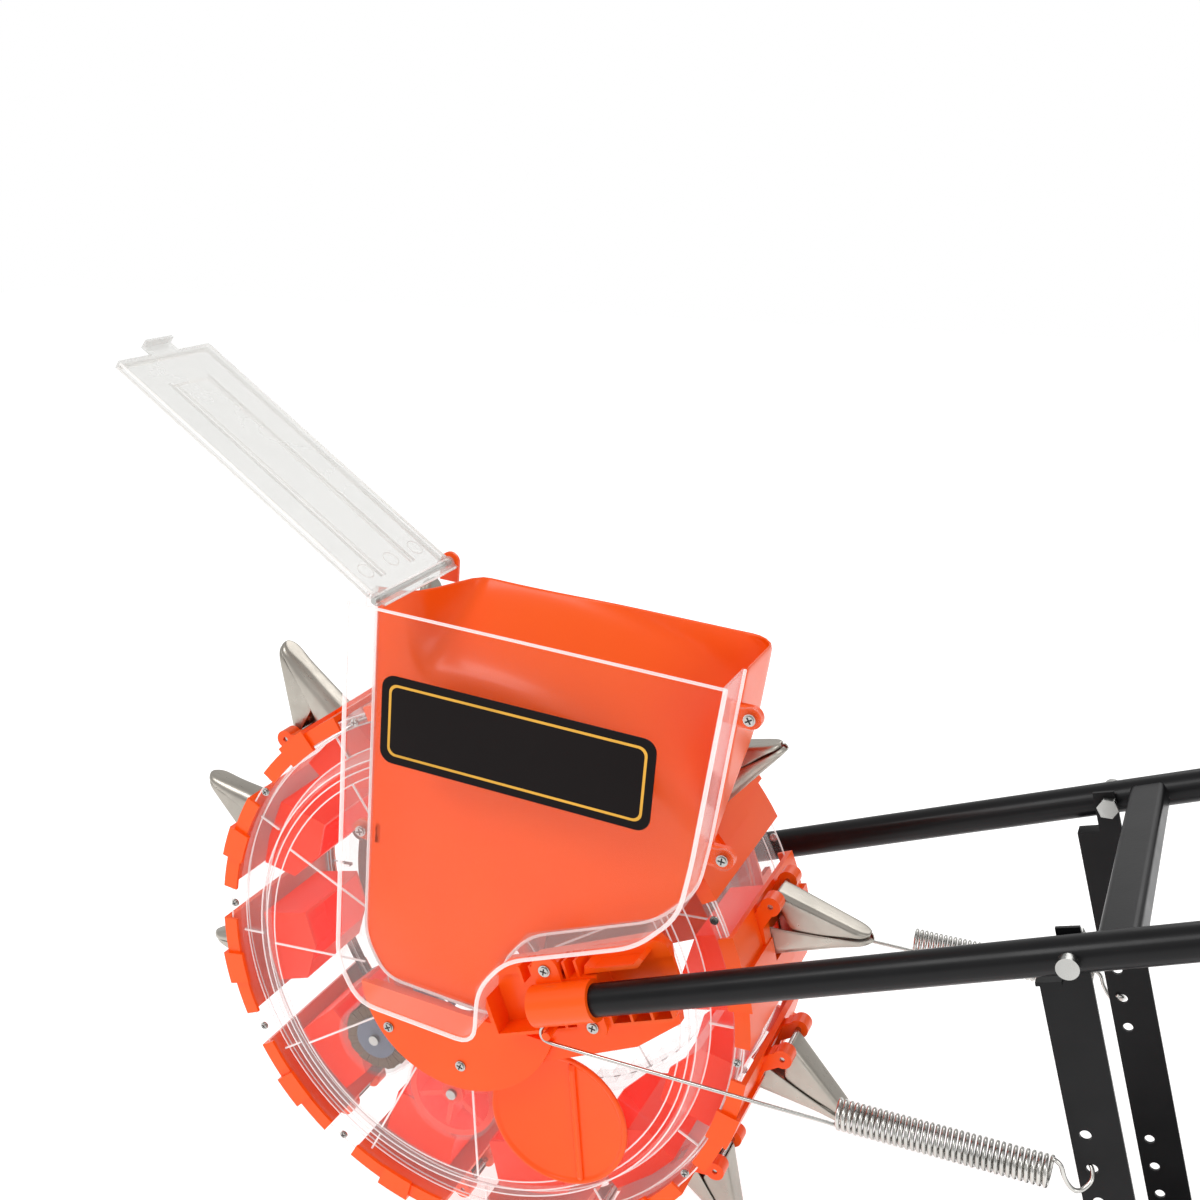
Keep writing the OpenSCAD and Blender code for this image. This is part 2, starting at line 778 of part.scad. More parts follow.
module face_profile(bore) {
    polygon([[bore, face_in - 9.5], [bore, drum_half_w], [dish_r, drum_half_w],
             [dish_r + 5, ring_out], [rim_r - 8, ring_out], [rim_r - 8, lip_out],
             [rim_r, lip_out], [rim_r, lip_out - 4], [rim_r - 5.5, lip_out - 4],
             [rim_r - 5.5, ring_in], [dish_r + 3, ring_in], [dish_r - 2, face_in],
             [bore + 2.5, face_in], [bore + 2.5, face_in - 9.5]]);
}

module face_ribs() {
    for (i = [0:stations - 1]) rotate(step * i + rib_phase)
        translate([cap_r + 4, -0.9]) square([dish_r - cap_r - 8, 1.8]);
}

module ring_ribs() {
    for (i = [0:stations - 1]) rotate(step * i + rib_phase)
        translate([dish_r + 5.2, -0.9]) square([rim_r - dish_r - 13.4, 1.8]);
}

module near_drum_face() {
    color([0.9, 0.93, 0.96, 0.35]) difference() {
        union() {
            lathe() face_profile(hub_r + 0.08);
            slab(drum_half_w - 0.2, drum_half_w + 1) difference() {
                face_ribs();
                rotate(door_angle) translate([door_c, 0]) circle(door_r + door_lip + 0.5);
            }
            slab(ring_out - 0.2, ring_out + 5) ring_ribs();
        }
        spoke_at(door_angle) translate([door_c, 0, 0]) cross_bar(door_r - 2, 0, 100);
    }
}

module far_drum_face() {
    color([0.9, 0.93, 0.96, 0.35]) far_side() {
        lathe() face_profile(bearing_r);
        slab(drum_half_w - 0.2, drum_half_w + 1) face_ribs();
        slab(ring_out - 0.2, ring_out + 5) ring_ribs();
    }
}

module drum_rim() {
    color([0.9, 0.93, 0.96, 0.35]) difference() {
        rotate([90, 0, 0]) translate([0, 0, -ring_in]) difference() {
            cylinder(r = rim_r - 6, h = 2 * ring_in, $fn = 96);
            translate([0, 0, -1]) cylinder(r = rim_r - 8.5, h = 2 * ring_in + 2, $fn = 96);
        }
        each_station() translate([rim_r - 20, -11, -6]) cube([40, 22, 14]);
    }
}

// Pocket that scoops seed up to one beak
module seed_chutes() {
    out = rim_r - 9;
    color([1, 0.36, 0.08]) each_station() difference() {
        rotate([90, 0, 0]) linear_extrude(76, center = true)
            polygon([[chute_in_r + 3, -36], [chute_in_r + 1, -8], [chute_in_r + 16, 20],
                     [out - 2, 22], [out, -2], [out - 3, -36]]);
        rotate([90, 0, 0]) linear_extrude(71, center = true)
            polygon([[chute_in_r - 5, -33.5], [chute_in_r - 5, -10], [chute_in_r + 18, 17],
                     [out - 5, 19], [out - 3, -2], [out - 6, -33.5]]);
        translate([out - 20, -11, -6]) cube([40, 22, 14]);
    }
}

module drum_bearing() {
    color([0.72, 0.73, 0.75]) far_side() slab(drum_half_w - bearing_w, drum_half_w) difference() {
        circle(bearing_r);
        circle(axle_r + fit);
    }
}

module drum_screws() {
    color([0.78, 0.79, 0.8]) for (m = [0, 1]) mirror([0, m, 0])
        for (i = [0:stations - 1]) spoke_at(tip_phase + screw_turn + step * i)
            translate([rim_r - 4, 0, 0]) screw_head(3, lip_out);
}

module duckbill_bases() {
    band = rim_r + 1;
    top = hinge_r - 8;
    lug_r = 7;
    color([1, 0.34, 0.06]) each_station() {
        // saddle that clips over both rim lips
        difference() {
            union() {
                lathe(-13, 22.5) polygon([[band, -lip_out - 0.5], [rim_r - 6, -lip_out - 0.5],
                    [rim_r - 6, -lip_out - 3], [band + 4, -lip_out - 3], [band + 4, lip_out + 3],
                    [rim_r - 6, lip_out + 3], [rim_r - 6, lip_out + 0.5], [band, lip_out + 0.5]]);
                lathe(-5, 7) polygon([[band + 3, -lip_out - 2.5], [rim_r - 9, -lip_out - 2.5],
                    [rim_r - 9, -lip_out - 5.5], [band + 7, -lip_out - 5.5],
                    [band + 7, lip_out + 5.5], [rim_r - 9, lip_out + 5.5],
                    [rim_r - 9, lip_out + 2.5], [band + 3, lip_out + 2.5]]);
                rotate([90, 0, 0]) linear_extrude(52, center = true)
                    polygon([[band + 1, -28], [band + 1, 30], [hinge_r - 5, hinge_off + 3],
                             [hinge_r - 8, hinge_off - 8], [top, 14], [top, -14], [band + 5, -28]]);
                for (s = [-1, 1]) translate([hinge_r, s * 20.5, hinge_off]) rotate([90, 0, 0])
                    cylinder(r = lug_r, h = 12, center = true);
                for (s = [-1, 1]) translate([0, s * 20.5, 0]) rotate([90, 0, 0])
                    linear_extrude(12, center = true) polygon([[band + 4, 18],
                        [band + 4, hinge_off - 1], [hinge_r, hinge_off + lug_r - 0.1],
                        [hinge_r, hinge_off - lug_r + 0.1]]);
            }
            rotate([90, 0, 0]) linear_extrude(2 * beak_half_w + 1.6, center = true)
                polygon([[band + 3, -10.5], [band + 3, 44], [hinge_r + 8, 44], [hinge_r + 8, -10.5]]);
            translate([rim_r - 20, -10, -6]) cube([60, 20, 14]);
            translate([hinge_r, 0, hinge_off]) rotate([90, 0, 0])
                cylinder(r = pin_r + 0.03, h = 60, center = true);
        }
    }
}

module fixed_beaks() {
    base = rim_r + 4.4;
    cheek = beak_half_w - beak_sheet;
    color([0.62, 0.6, 0.57]) each_station() difference() {
        union() {
            rotate([90, 0, 0]) linear_extrude(2 * beak_half_w, center = true)
                polygon([[base, -9.6], [base, -9.6 + beak_sheet], [tip_r - 4, -2 + beak_sheet],
                         [tip_r, beak_sheet / 2], [tip_r, -beak_sheet / 2], [tip_r - 4, -2]]);
            for (s = [-1, 1]) translate([0, s * (cheek + beak_sheet / 2), 0]) rotate([90, 0, 0])
                linear_extrude(beak_sheet, center = true)
                    polygon([[base, -9.6], [base, 14], [tip_r - 22, 5], [tip_r - 6, 0.4],
                             [tip_r - 4, -2]]);
        }
    }
}

module beak_pins() {
    color([0.75, 0.76, 0.78]) each_station() translate([hinge_r, 0, hinge_off])
        rotate([90, 0, 0]) cylinder(r = pin_r, h = 50, center = true);
}

// Hinged half of one beak, closed on the fixed half
module moving_beak(i) {
    half = beak_half_w - beak_sheet - loose;
    nose = [tip_r - 3, 3.2];
    color([0.6, 0.58, 0.55]) spoke_at(tip_phase + step * (i - 1)) difference() {
        union() {
            rotate([90, 0, 0]) linear_extrude(2 * half, center = true)
                polygon([[hinge_r + 1, hinge_off + 3.5], [hinge_r - 0.5, hinge_off + 1], nose,
                         [nose[0], nose[1] + 1.5]]);
            for (s = [-1, 1]) translate([0, s * (half - beak_sheet / 2), 0]) rotate([90, 0, 0])
                linear_extrude(beak_sheet, center = true)
                    polygon([[hinge_r + 1, hinge_off + 3], [hinge_r - 3, hinge_off - 3],
                             [hinge_r, 6], [nose[0] - 16, 1], nose, [nose[0], nose[1] + 1]]);
            translate([hinge_r, 0, hinge_off]) rotate([90, 0, 0])
                cylinder(r = 4.6, h = 2 * half, center = true);
        }
        translate([hinge_r, 0, hinge_off]) rotate([90, 0, 0])
            cylinder(r = pin_r + fit, h = 60, center = true);
    }
}

module clean_out_door() {
    color([1, 0.36, 0.1]) spoke_at(door_angle) translate([door_c, 0, 0]) {
        slab(face_in, drum_half_w + arm_slack) circle(door_r - 2.3);
        slab(drum_half_w + arm_slack, drum_half_w + 1.6) circle(door_r + door_lip);
        slab(drum_half_w + 1.5, drum_half_w + 3.6) rotate(door_angle * -1 - 5)
            square([2 * door_r, 4], center = true);
    }
}

// ---- press wheel and springs ----

// Flat arm, narrow where it passes the tube, with a folded stop under the tube
module swing_arm() {
    tab = [-9, 5, 10];
    foot = -arm_len - arm_end;
    at_pivot() difference() {
        union() {
            slab(arm_y - arm_sheet, arm_y) polygon([[tab[0], tab[2]], [tab[1], tab[2]],
                [arm_rear, -4], [arm_rear, foot], [arm_front_edge, foot],
                [arm_front_edge, -arm_shoulder], [tab[0], -arm_shoulder]]);
            slab(arm_y - arm_sheet, arm_y + 10)
                translate([arm_front_edge, -arm_shoulder - arm_sheet]) square([15, arm_sheet]);
        }
        cross_bar(4, 0, 200);
        translate([hole_line, 0, 0]) {
            for (i = [0:upper_holes - 1]) translate([0, 0, -first_hole - i * hole_pitch])
                cross_bar(3.5, arm_y - 10, arm_y + 10);
            for (i = [1:lower_holes]) translate([0, 0, -arm_len + i * hole_pitch])
                cross_bar(3.5, arm_y - 10, arm_y + 10);
            translate([0, 0, -arm_len]) cross_bar(wheel_axle_r + 0.05, arm_y - 10, arm_y + 10);
        }
    }
}

module near_swing_arm() { color([0.07, 0.07, 0.08]) swing_arm(); }
module far_swing_arm() { color([0.07, 0.07, 0.08]) far_side() swing_arm(); }

module wheel_axle() {
    color([0.72, 0.73, 0.75]) at_wheel() translate([0, arm_y + 12, 0])
        rotate([90, 0, 0]) cylinder(r = wheel_axle_r, h = 2 * (arm_y + 12));
}

module axle_nuts() {
    color([0.7, 0.71, 0.73]) for (m = [0, 1]) mirror([0, m, 0]) at_wheel()
        slab(arm_y, arm_y + 8) difference() {
            circle(11, $fn = 6);
            circle(wheel_axle_r + 0.05);
        }
}

module press_wheel() {
    rim = 8;
    color([0.08, 0.08, 0.09]) at_wheel() {
        for (m = [0, 1]) mirror([0, m, 0]) {
            slab(wheel_half_w - 5, wheel_half_w) difference() {
                circle(wheel_r);
                circle(wheel_r - rim);
            }
            slab(wheel_half_w - 4.5, wheel_half_w - 0.5) for (a = [0:60:300]) rotate(a)
                translate([12, -4]) square([wheel_r - rim - 11, 8]);
        }
        rotate([90, 0, 0]) for (a = [0:30:330]) rotate([0, 0, a + 15])
            translate([wheel_r - rim + 1, -11, -wheel_half_w + 0.5])
                cube([3, 22, 2 * wheel_half_w - 1]);
        rotate([90, 0, 0]) difference() {
            cylinder(r = 13, h = 2 * wheel_half_w + 8, center = true);
            cylinder(r = wheel_axle_r + fit, h = 300, center = true);
        }
    }
}

// Extension spring: an eye on the arm's peg, a straight wire, a closed coil and a
// hook through the swing arm
module spring() {
    hook = arm_point(hook_hole);
    span = [hook[0] - spring_peg[0], hook[1] - spring_peg[1]];
    length = norm(span);
    coil_end = length - 22;
    bar = wire_r + 0.5;
    translate([spring_peg[0], -tube_y, spring_peg[1]]) rotate([0, -atan2(span[1], span[0]), 0]) {
        slab(-1.2, 1.2) difference() {
            circle(peg_r + 2.6);
            circle(peg_r + 0.1);
        }
        translate([peg_r + 1, 0, 0]) rod(wire_r, coil_end - coil_len + bar - peg_r - 1);
        translate([coil_end - coil_len, 0, 0]) rotate([0, 90, 0])
            pipe(coil_r, 2 * wire_r, coil_len);
        for (x = [coil_end - coil_len + bar, coil_end - bar]) translate([x, 0, 0])
            cylinder(r = wire_r - 0.15, h = 2 * coil_r - 2, center = true);
        translate([coil_end - bar, 0, 0]) rod(wire_r, length - coil_end + bar + 1);
        translate([length, -1, 0]) rotate([-90, 0, 0])
            cylinder(r = wire_r - 0.15, h = tube_y - arm_y + arm_sheet + 6);
    }
}

// Side-view place of a hole on the swing arm, at a distance below the pivot
function arm_point(s) = [
    pivot[0] + s * sin(arm_lean) + hole_line * cos(arm_lean),
    pivot[1] - s * cos(arm_lean) + hole_line * sin(arm_lean)];

module near_spring() { color([0.8, 0.8, 0.8]) spring(); }
module far_spring() { color([0.8, 0.8, 0.8]) far_side() spring(); }

near_lower_tube();
far_lower_tube();
near_upper_tube();
far_upper_tube();
near_grip();
far_grip();
front_cross_tube();
top_cross_tube();
near_side_arm();
far_side_arm();
near_tube_clamp();
far_tube_clamp();
axle();
near_hub();
near_hub_cap();
far_hub_cap();
hopper_tub();
hopper_cover();
badge_plate();
lid();
hinge_pin();
body_screws();
frame_bolts();
pivot_bolts();
metering_housing();
roller_shafts();
shaft_bracket();
brush_core();
brush_bristles();
metering_wheel();
near_swing_arm();
far_swing_arm();
wheel_axle();
axle_nuts();
near_spring();
far_spring();
press_wheel();
near_drum_face();
far_drum_face();
drum_rim();
ring_gear();
seed_chutes();
drum_bearing();
drum_screws();
duckbill_bases();
fixed_beaks();
beak_pins();
clean_out_door();
for (i = [1:stations]) moving_beak(i);
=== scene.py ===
import bpy, bmesh, json, math
from mathutils import Vector, Matrix
from mathutils.noise import random as rnd, seed_set


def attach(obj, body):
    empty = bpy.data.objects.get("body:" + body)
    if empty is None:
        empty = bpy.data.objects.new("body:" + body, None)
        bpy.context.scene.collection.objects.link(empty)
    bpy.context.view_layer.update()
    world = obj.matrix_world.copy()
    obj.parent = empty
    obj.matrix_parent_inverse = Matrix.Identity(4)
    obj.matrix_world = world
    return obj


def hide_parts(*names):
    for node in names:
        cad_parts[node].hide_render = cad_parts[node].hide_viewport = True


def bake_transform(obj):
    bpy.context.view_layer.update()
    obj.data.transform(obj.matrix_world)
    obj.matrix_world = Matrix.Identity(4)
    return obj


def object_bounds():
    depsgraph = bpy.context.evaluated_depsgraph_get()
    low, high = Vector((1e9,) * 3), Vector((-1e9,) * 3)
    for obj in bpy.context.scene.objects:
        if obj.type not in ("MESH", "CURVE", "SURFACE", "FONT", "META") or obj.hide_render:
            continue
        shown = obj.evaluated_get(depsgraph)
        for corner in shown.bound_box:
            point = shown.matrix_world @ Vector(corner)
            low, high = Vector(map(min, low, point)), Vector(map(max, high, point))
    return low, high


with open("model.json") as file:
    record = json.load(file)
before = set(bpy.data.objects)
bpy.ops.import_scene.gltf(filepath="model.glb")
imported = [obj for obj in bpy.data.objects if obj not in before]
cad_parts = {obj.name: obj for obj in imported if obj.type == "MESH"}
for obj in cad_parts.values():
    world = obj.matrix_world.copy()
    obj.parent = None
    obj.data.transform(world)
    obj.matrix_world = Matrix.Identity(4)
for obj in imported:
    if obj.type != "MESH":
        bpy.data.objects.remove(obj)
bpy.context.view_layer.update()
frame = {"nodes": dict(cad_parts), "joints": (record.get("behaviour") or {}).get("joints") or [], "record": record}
nodes = frame["nodes"]
seed_set(7)
scene = bpy.context.scene
mm = 0.001
joints = {j["name"]: j for j in frame["joints"]}
print("frame loaded:", len(nodes), "nodes")

# places that several pieces share, in millimetres
plan = {
    "hopperLean": 5.0, "hopperTop": 286.0, "hopperJoint": 80.0, "hopperFront": 119.0,
    "tubeY": 114.0, "springPeg": (84.0, 3.0), "hookHole": 146.5,
    "armLean": 15.0, "holeLine": -15.0, "tipPhase": 12.0, "stations": 12,
}


def newMaterial(name):
    mat = bpy.data.materials.new(name)
    mat.use_nodes = True
    tree = mat.node_tree
    return mat, tree, tree.nodes["Principled BSDF"]


def addNode(tree, kind, **values):
    node = tree.nodes.new(kind)
    for key, value in values.items():
        setattr(node, key, value)
    return node


def ramp(tree, source, low, high, colorLow, colorHigh):
    node = addNode(tree, "ShaderNodeValToRGB")
    node.color_ramp.elements[0].position = low
    node.color_ramp.elements[1].position = high
    node.color_ramp.elements[0].color = colorLow
    node.color_ramp.elements[1].color = colorHigh
    tree.links.new(source, node.inputs[0])
    return node.outputs[0]


def noise(tree, scale, detail=3.0, stretch=None):
    coords = addNode(tree, "ShaderNodeTexCoord")
    out = coords.outputs["Object"]
    if stretch:
        mapping = addNode(tree, "ShaderNodeMapping")
        mapping.inputs["Scale"].default_value = stretch
        tree.links.new(out, mapping.inputs["Vector"])
        out = mapping.outputs["Vector"]
    node = addNode(tree, "ShaderNodeTexNoise")
    node.inputs["Scale"].default_value = scale
    node.inputs["Detail"].default_value = detail
    tree.links.new(out, node.inputs["Vector"])
    return node.outputs["Fac"]


def bump(tree, shader, source, strength, distance=0.001):
    node = addNode(tree, "ShaderNodeBump")
    node.inputs["Strength"].default_value = strength
    node.inputs["Distance"].default_value = distance
    tree.links.new(source, node.inputs["Height"])
    tree.links.new(node.outputs["Normal"], shader.inputs["Normal"])


def grey(v):
    return (v, v, v, 1)


def plastic(name, color, darker, roughness=0.3, coat=0.12, grain=900, specular=0.3, paintedGlow=0.0):
    mat, tree, shader = newMaterial(name)
    wide = noise(tree, 9.0)
    tree.links.new(ramp(tree, wide, 0.3, 0.7, darker + (1,), color + (1,)), shader.inputs["Base Color"])
    tree.links.new(ramp(tree, noise(tree, 60.0, 5), 0.3, 0.75, grey(roughness - 0.02), grey(roughness + 0.03)),
                   shader.inputs["Roughness"])
    shader.inputs["Specular IOR Level"].default_value = specular
    shader.inputs["Coat Weight"].default_value = coat
    shader.inputs["Coat Roughness"].default_value = 0.15
    # painted light: the plastic can glow in its own colour, set by paintedGlow
    shader.inputs["Emission Color"].default_value = color + (1,)
    shader.inputs["Emission Strength"].default_value = paintedGlow
    bump(tree, shader, noise(tree, grain, 2), 0.012)
    return mat


def clearPlastic(name, tint, face, edge, paintedGlow=0.2, roughness=0.05):
    # nearly invisible face on, white and glossy where the wall turns away; a faint painted glow whitens it most at
    # those edges
    mat, tree, shader = newMaterial(name)
    weight = addNode(tree, "ShaderNodeLayerWeight")
    weight.inputs["Blend"].default_value = 0.5
    alpha = ramp(tree, weight.outputs["Facing"], 0.25, 1.0, grey(face), grey(edge))
    tree.links.new(alpha, shader.inputs["Alpha"])
    scuffs = ramp(tree, noise(tree, 35.0, 6), 0.35, 0.8, tuple(c * 0.94 for c in tint) + (1,), tint + (1,))
    tree.links.new(scuffs, shader.inputs["Base Color"])
    tree.links.new(ramp(tree, noise(tree, 80.0, 4), 0.3, 0.8, grey(roughness), grey(roughness + 0.08)),
                   shader.inputs["Roughness"])
    # painted light: a faint warm-white glow over the clear plastic
    shader.inputs["Emission Color"].default_value = (1.0, 0.93, 0.91, 1)
    shader.inputs["Emission Strength"].default_value = paintedGlow
    shader.inputs["Specular IOR Level"].default_value = 0.45
    shader.inputs["Coat Weight"].default_value = 0.3
    shader.inputs["Coat Roughness"].default_value = 0.03
    return mat


def metal(name, color, roughness, spread, stretch=None, scale=120.0, grain=0.04):
    mat, tree, shader = newMaterial(name)
    shader.inputs["Metallic"].default_value = 1.0
    stain = noise(tree, 14.0, 5)
    dull = tuple(c * 0.72 for c in color)
    tree.links.new(ramp(tree, stain, 0.3, 0.62, dull + (1,), color + (1,)), shader.inputs["Base Color"])
    fine = noise(tree, scale, 4, stretch)
    tree.links.new(ramp(tree, fine, 0.3, 0.75, grey(roughness), grey(roughness + spread)),
                   shader.inputs["Roughness"])
    bump(tree, shader, fine, grain, 0.0005)
    return mat


def paint(name, color, roughness, coat):
    mat, tree, shader = newMaterial(name)
    tree.links.new(ramp(tree, noise(tree, 40.0, 4), 0.3, 0.8, color + (1,), tuple(c * 1.6 for c in color) + (1,)),
                   shader.inputs["Base Color"])
    tree.links.new(ramp(tree, noise(tree, 25.0, 5), 0.3, 0.8, grey(roughness), grey(roughness + 0.12)),
                   shader.inputs["Roughness"])
    shader.inputs["Specular IOR Level"].default_value = 0.22
    shader.inputs["Coat Weight"].default_value = coat
    shader.inputs["Coat Roughness"].default_value = 0.15
    bump(tree, shader, noise(tree, 420, 3), 0.04)
    return mat


finishes = {
    "orange": plastic("gloss orange plastic", (1.0, 0.105, 0.002), (0.97, 0.088, 0.002)),
    # painted light: the orange inside the drum glows a little, to lift the shade that falls inside it
    "orangeDeep": plastic("orange inside the drum with painted glow", (0.97, 0.040, 0.004), (0.90, 0.030, 0.003), 0.4, 0.05, paintedGlow=0.22),
    # painted light: every clear finish glows faintly; the edge and lid-rib finishes are whiter, more opaque and glow
    # more, as painted highlight lines
    "clear": clearPlastic("clear moulded plastic", (0.78, 0.72, 0.71), 0.012, 0.34),
    "clearThick": clearPlastic("clear rim plastic", (0.80, 0.70, 0.69), 0.02, 0.34),
    "clearEdgeHighlight": clearPlastic("clear edge with painted highlight", (0.95, 0.87, 0.86), 0.42, 0.85, 0.3),
    "clearLid": clearPlastic("clear lid plastic", (0.56, 0.56, 0.525), 0.24, 0.8, 0.05),
    "lidEdgeHighlight": clearPlastic("clear lid rib with painted highlight", (0.90, 0.90, 0.88), 0.5, 0.85, 0.3),
    "blackPaint": paint("gloss black powder coat", (0.003, 0.003, 0.0035), 0.28, 0.06),
    "blackSatin": paint("satin black powder coat", (0.004, 0.004, 0.0045), 0.4, 0.0),
    "stainless": metal("folded stainless sheet", (0.50, 0.465, 0.41), 0.26, 0.16, (1, 14, 1)),
    "zinc": metal("bright zinc plate", (0.52, 0.52, 0.50), 0.16, 0.14),
    "wire": metal("bright spring wire", (0.62, 0.61, 0.58), 0.16, 0.12),
    "rubber": plastic("soft grip rubber", (0.02, 0.02, 0.021), (0.014, 0.014, 0.015), 0.6, 0.0, 1500),
    "hub": plastic("blue-grey plastic", (0.16, 0.19, 0.26), (0.12, 0.15, 0.21), 0.4, 0.1),
    "bristle": plastic("brown nylon", (0.22, 0.13, 0.07), (0.12, 0.07, 0.04), 0.6, 0.0),
    "label": plastic("printed black film", (0.006, 0.003, 0.003), (0.004, 0.002, 0.002), 0.45, 0.0, 900, 0.12),
    "gold": metal("printed gold line", (0.78, 0.42, 0.07), 0.34, 0.1),
    # painted shade: the screw slots are a dark plate laid where the recess is in shade
    "paintedSlotShade": plastic("painted shade in screw slot", (0.03, 0.03, 0.03), (0.02, 0.02, 0.02), 0.5, 0.0),
}
slotFinish = {
    "black_tube": "blackPaint", "black_arm": "blackSatin", "orange_plastic": "orange",
    "orange_inner": "orangeDeep", "clear_plastic": "clear", "stainless": "stainless",
    "bright_steel": "zinc", "spring_steel": "wire", "black_label": "label",
    "grip_rubber": "rubber", "brush_hub": "hub", "bristle": "bristle",
}
nodeSlot = {s["node"]: s["material_slot"] for s in frame["record"]["subparts"]}


def paintWith(obj, finish):
    obj.data.materials.clear()
    obj.data.materials.append(finishes[finish])


for name, node in nodes.items():
    paintWith(node, slotFinish[nodeSlot[name]])
for name in ("drum_rim", "near_drum_face", "far_drum_face"):
    paintWith(nodes[name], "clearThick")
paintWith(nodes["lid"], "clearLid")
print("materials set")

edgeRounds = {
    "hopper_cover": 0.9, "near_side_arm": 0.8, "far_side_arm": 0.8,
    "near_tube_clamp": 0.8, "far_tube_clamp": 0.8, "near_hub_cap": 1.2, "far_hub_cap": 1.2,
    "duckbill_bases": 0.9, "clean_out_door": 0.7, "near_drum_face": 0.6, "far_drum_face": 0.6,
    "drum_rim": 0.6, "lid": 0.5, "seed_chutes": 0.8, "near_swing_arm": 0.4, "far_swing_arm": 0.4,
    "press_wheel": 0.6, "metering_wheel": 0.6, "metering_housing": 0.5, "front_cross_tube": 0.4,
}


def roundEdges(obj, width):
    mod = obj.modifiers.new("soft edges", "BEVEL")
    mod.width = width * mm
    mod.segments = 2
    mod.limit_method = "ANGLE"
    mod.angle_limit = math.radians(38)


for name, width in edgeRounds.items():
    roundEdges(nodes[name], width)
print("edges rounded")


def meshPiece(name, verts, faces, finish, body, hides=(), smooth=True):
    mesh = bpy.data.meshes.new(name)
    mesh.from_pydata([Vector(v) * mm for v in verts], [], faces)
    mesh.validate()
    obj = bpy.data.objects.new(name, mesh)
    scene.collection.objects.link(obj)
    paintWith(obj, finish)
    for poly in mesh.polygons:
        poly.use_smooth = smooth
    return settle(obj, body, hides)


def settle(obj, body, hides=()):
    if body:
        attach(obj, body)
    if hides:
        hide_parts(*hides)
    return obj


def addModifier(obj, kind, name, **values):
    mod = obj.modifiers.new(name, kind)
    for key, value in values.items():
        setattr(mod, key, value)
    return mod


def leaned(u, y, v):
    # a point drawn in the hopper's own upright frame
    a = math.radians(plan["hopperLean"])
    return (u * math.cos(a) + v * math.sin(a), y, v * math.cos(a) - u * math.sin(a))


def spokeMatrix(angle):
    # turns local +X outwards at that angle above the rear, local +Z follows round
    return Matrix.Rotation(-math.radians(angle), 4, "Y")


def tubeAlong(points, radius, sides=8):
    # verts and faces of a round wire through the points, carried without twist
    verts, faces = [], []
    pts = [Vector(p) for p in points]
    side = None
    for i, p in enumerate(pts):
        ahead = (pts[min(i + 1, len(pts) - 1)] - pts[max(i - 1, 0)]).normalized()
        if side is None:
            side = ahead.orthogonal().normalized()
        side = (side - ahead * side.dot(ahead)).normalized()
        up = ahead.cross(side)
        for k in range(sides):
            a = 2 * math.pi * k / sides
            verts.append(p + (side * math.cos(a) + up * math.sin(a)) * radius)
    for i in range(len(pts) - 1):
        for k in range(sides):
            n = (k + 1) % sides
            faces.append((i * sides + k, i * sides + n, (i + 1) * sides + n, (i + 1) * sides + k))
    faces.append(tuple(reversed(range(sides))))
    faces.append(tuple((len(pts) - 1) * sides + k for k in range(sides)))
    return verts, faces


def smoothPath(points, steps=6):
    # a curve through the points (Catmull-Rom)
    out = []
    pts = [Vector(p) for p in points]
    for i in range(len(pts) - 1):
        p0, p1, p2, p3 = pts[max(i - 1, 0)], pts[i], pts[i + 1], pts[min(i + 2, len(pts) - 1)]
        for k in range(steps):
            t = k / steps
            out.append(0.5 * ((2 * p1) + (p2 - p0) * t + (2 * p0 - 5 * p1 + 4 * p2 - p3) * t * t
                              + (3 * p1 - p0 - 3 * p2 + p3) * t ** 3))
    out.append(pts[-1])
    return out


def smoothStep(low, high, x):
    t = min(max((x - low) / (high - low), 0), 1)
    return t * t * (3 - 2 * t)


# hooks are rows of (along, up, inward) from the peg, and from the coil's end
springShape = {
    "coilRadius": 8.7, "wire": 1.4, "turns": 36, "coilLength": 130.0, "tail": 22.0, "perTurn": 18,
    "pegHook": ((1, 7, 3), (-3.6, 5, 1), (-5, 0, 0), (-2.5, -4.6, 0), (4, -6, 0)),
    "armHook": ((1.5, 8.7, 0), (5, 5.7, 0), (8, -2, 0), (13, -8.5, 1), (18, -9, 3)),
}


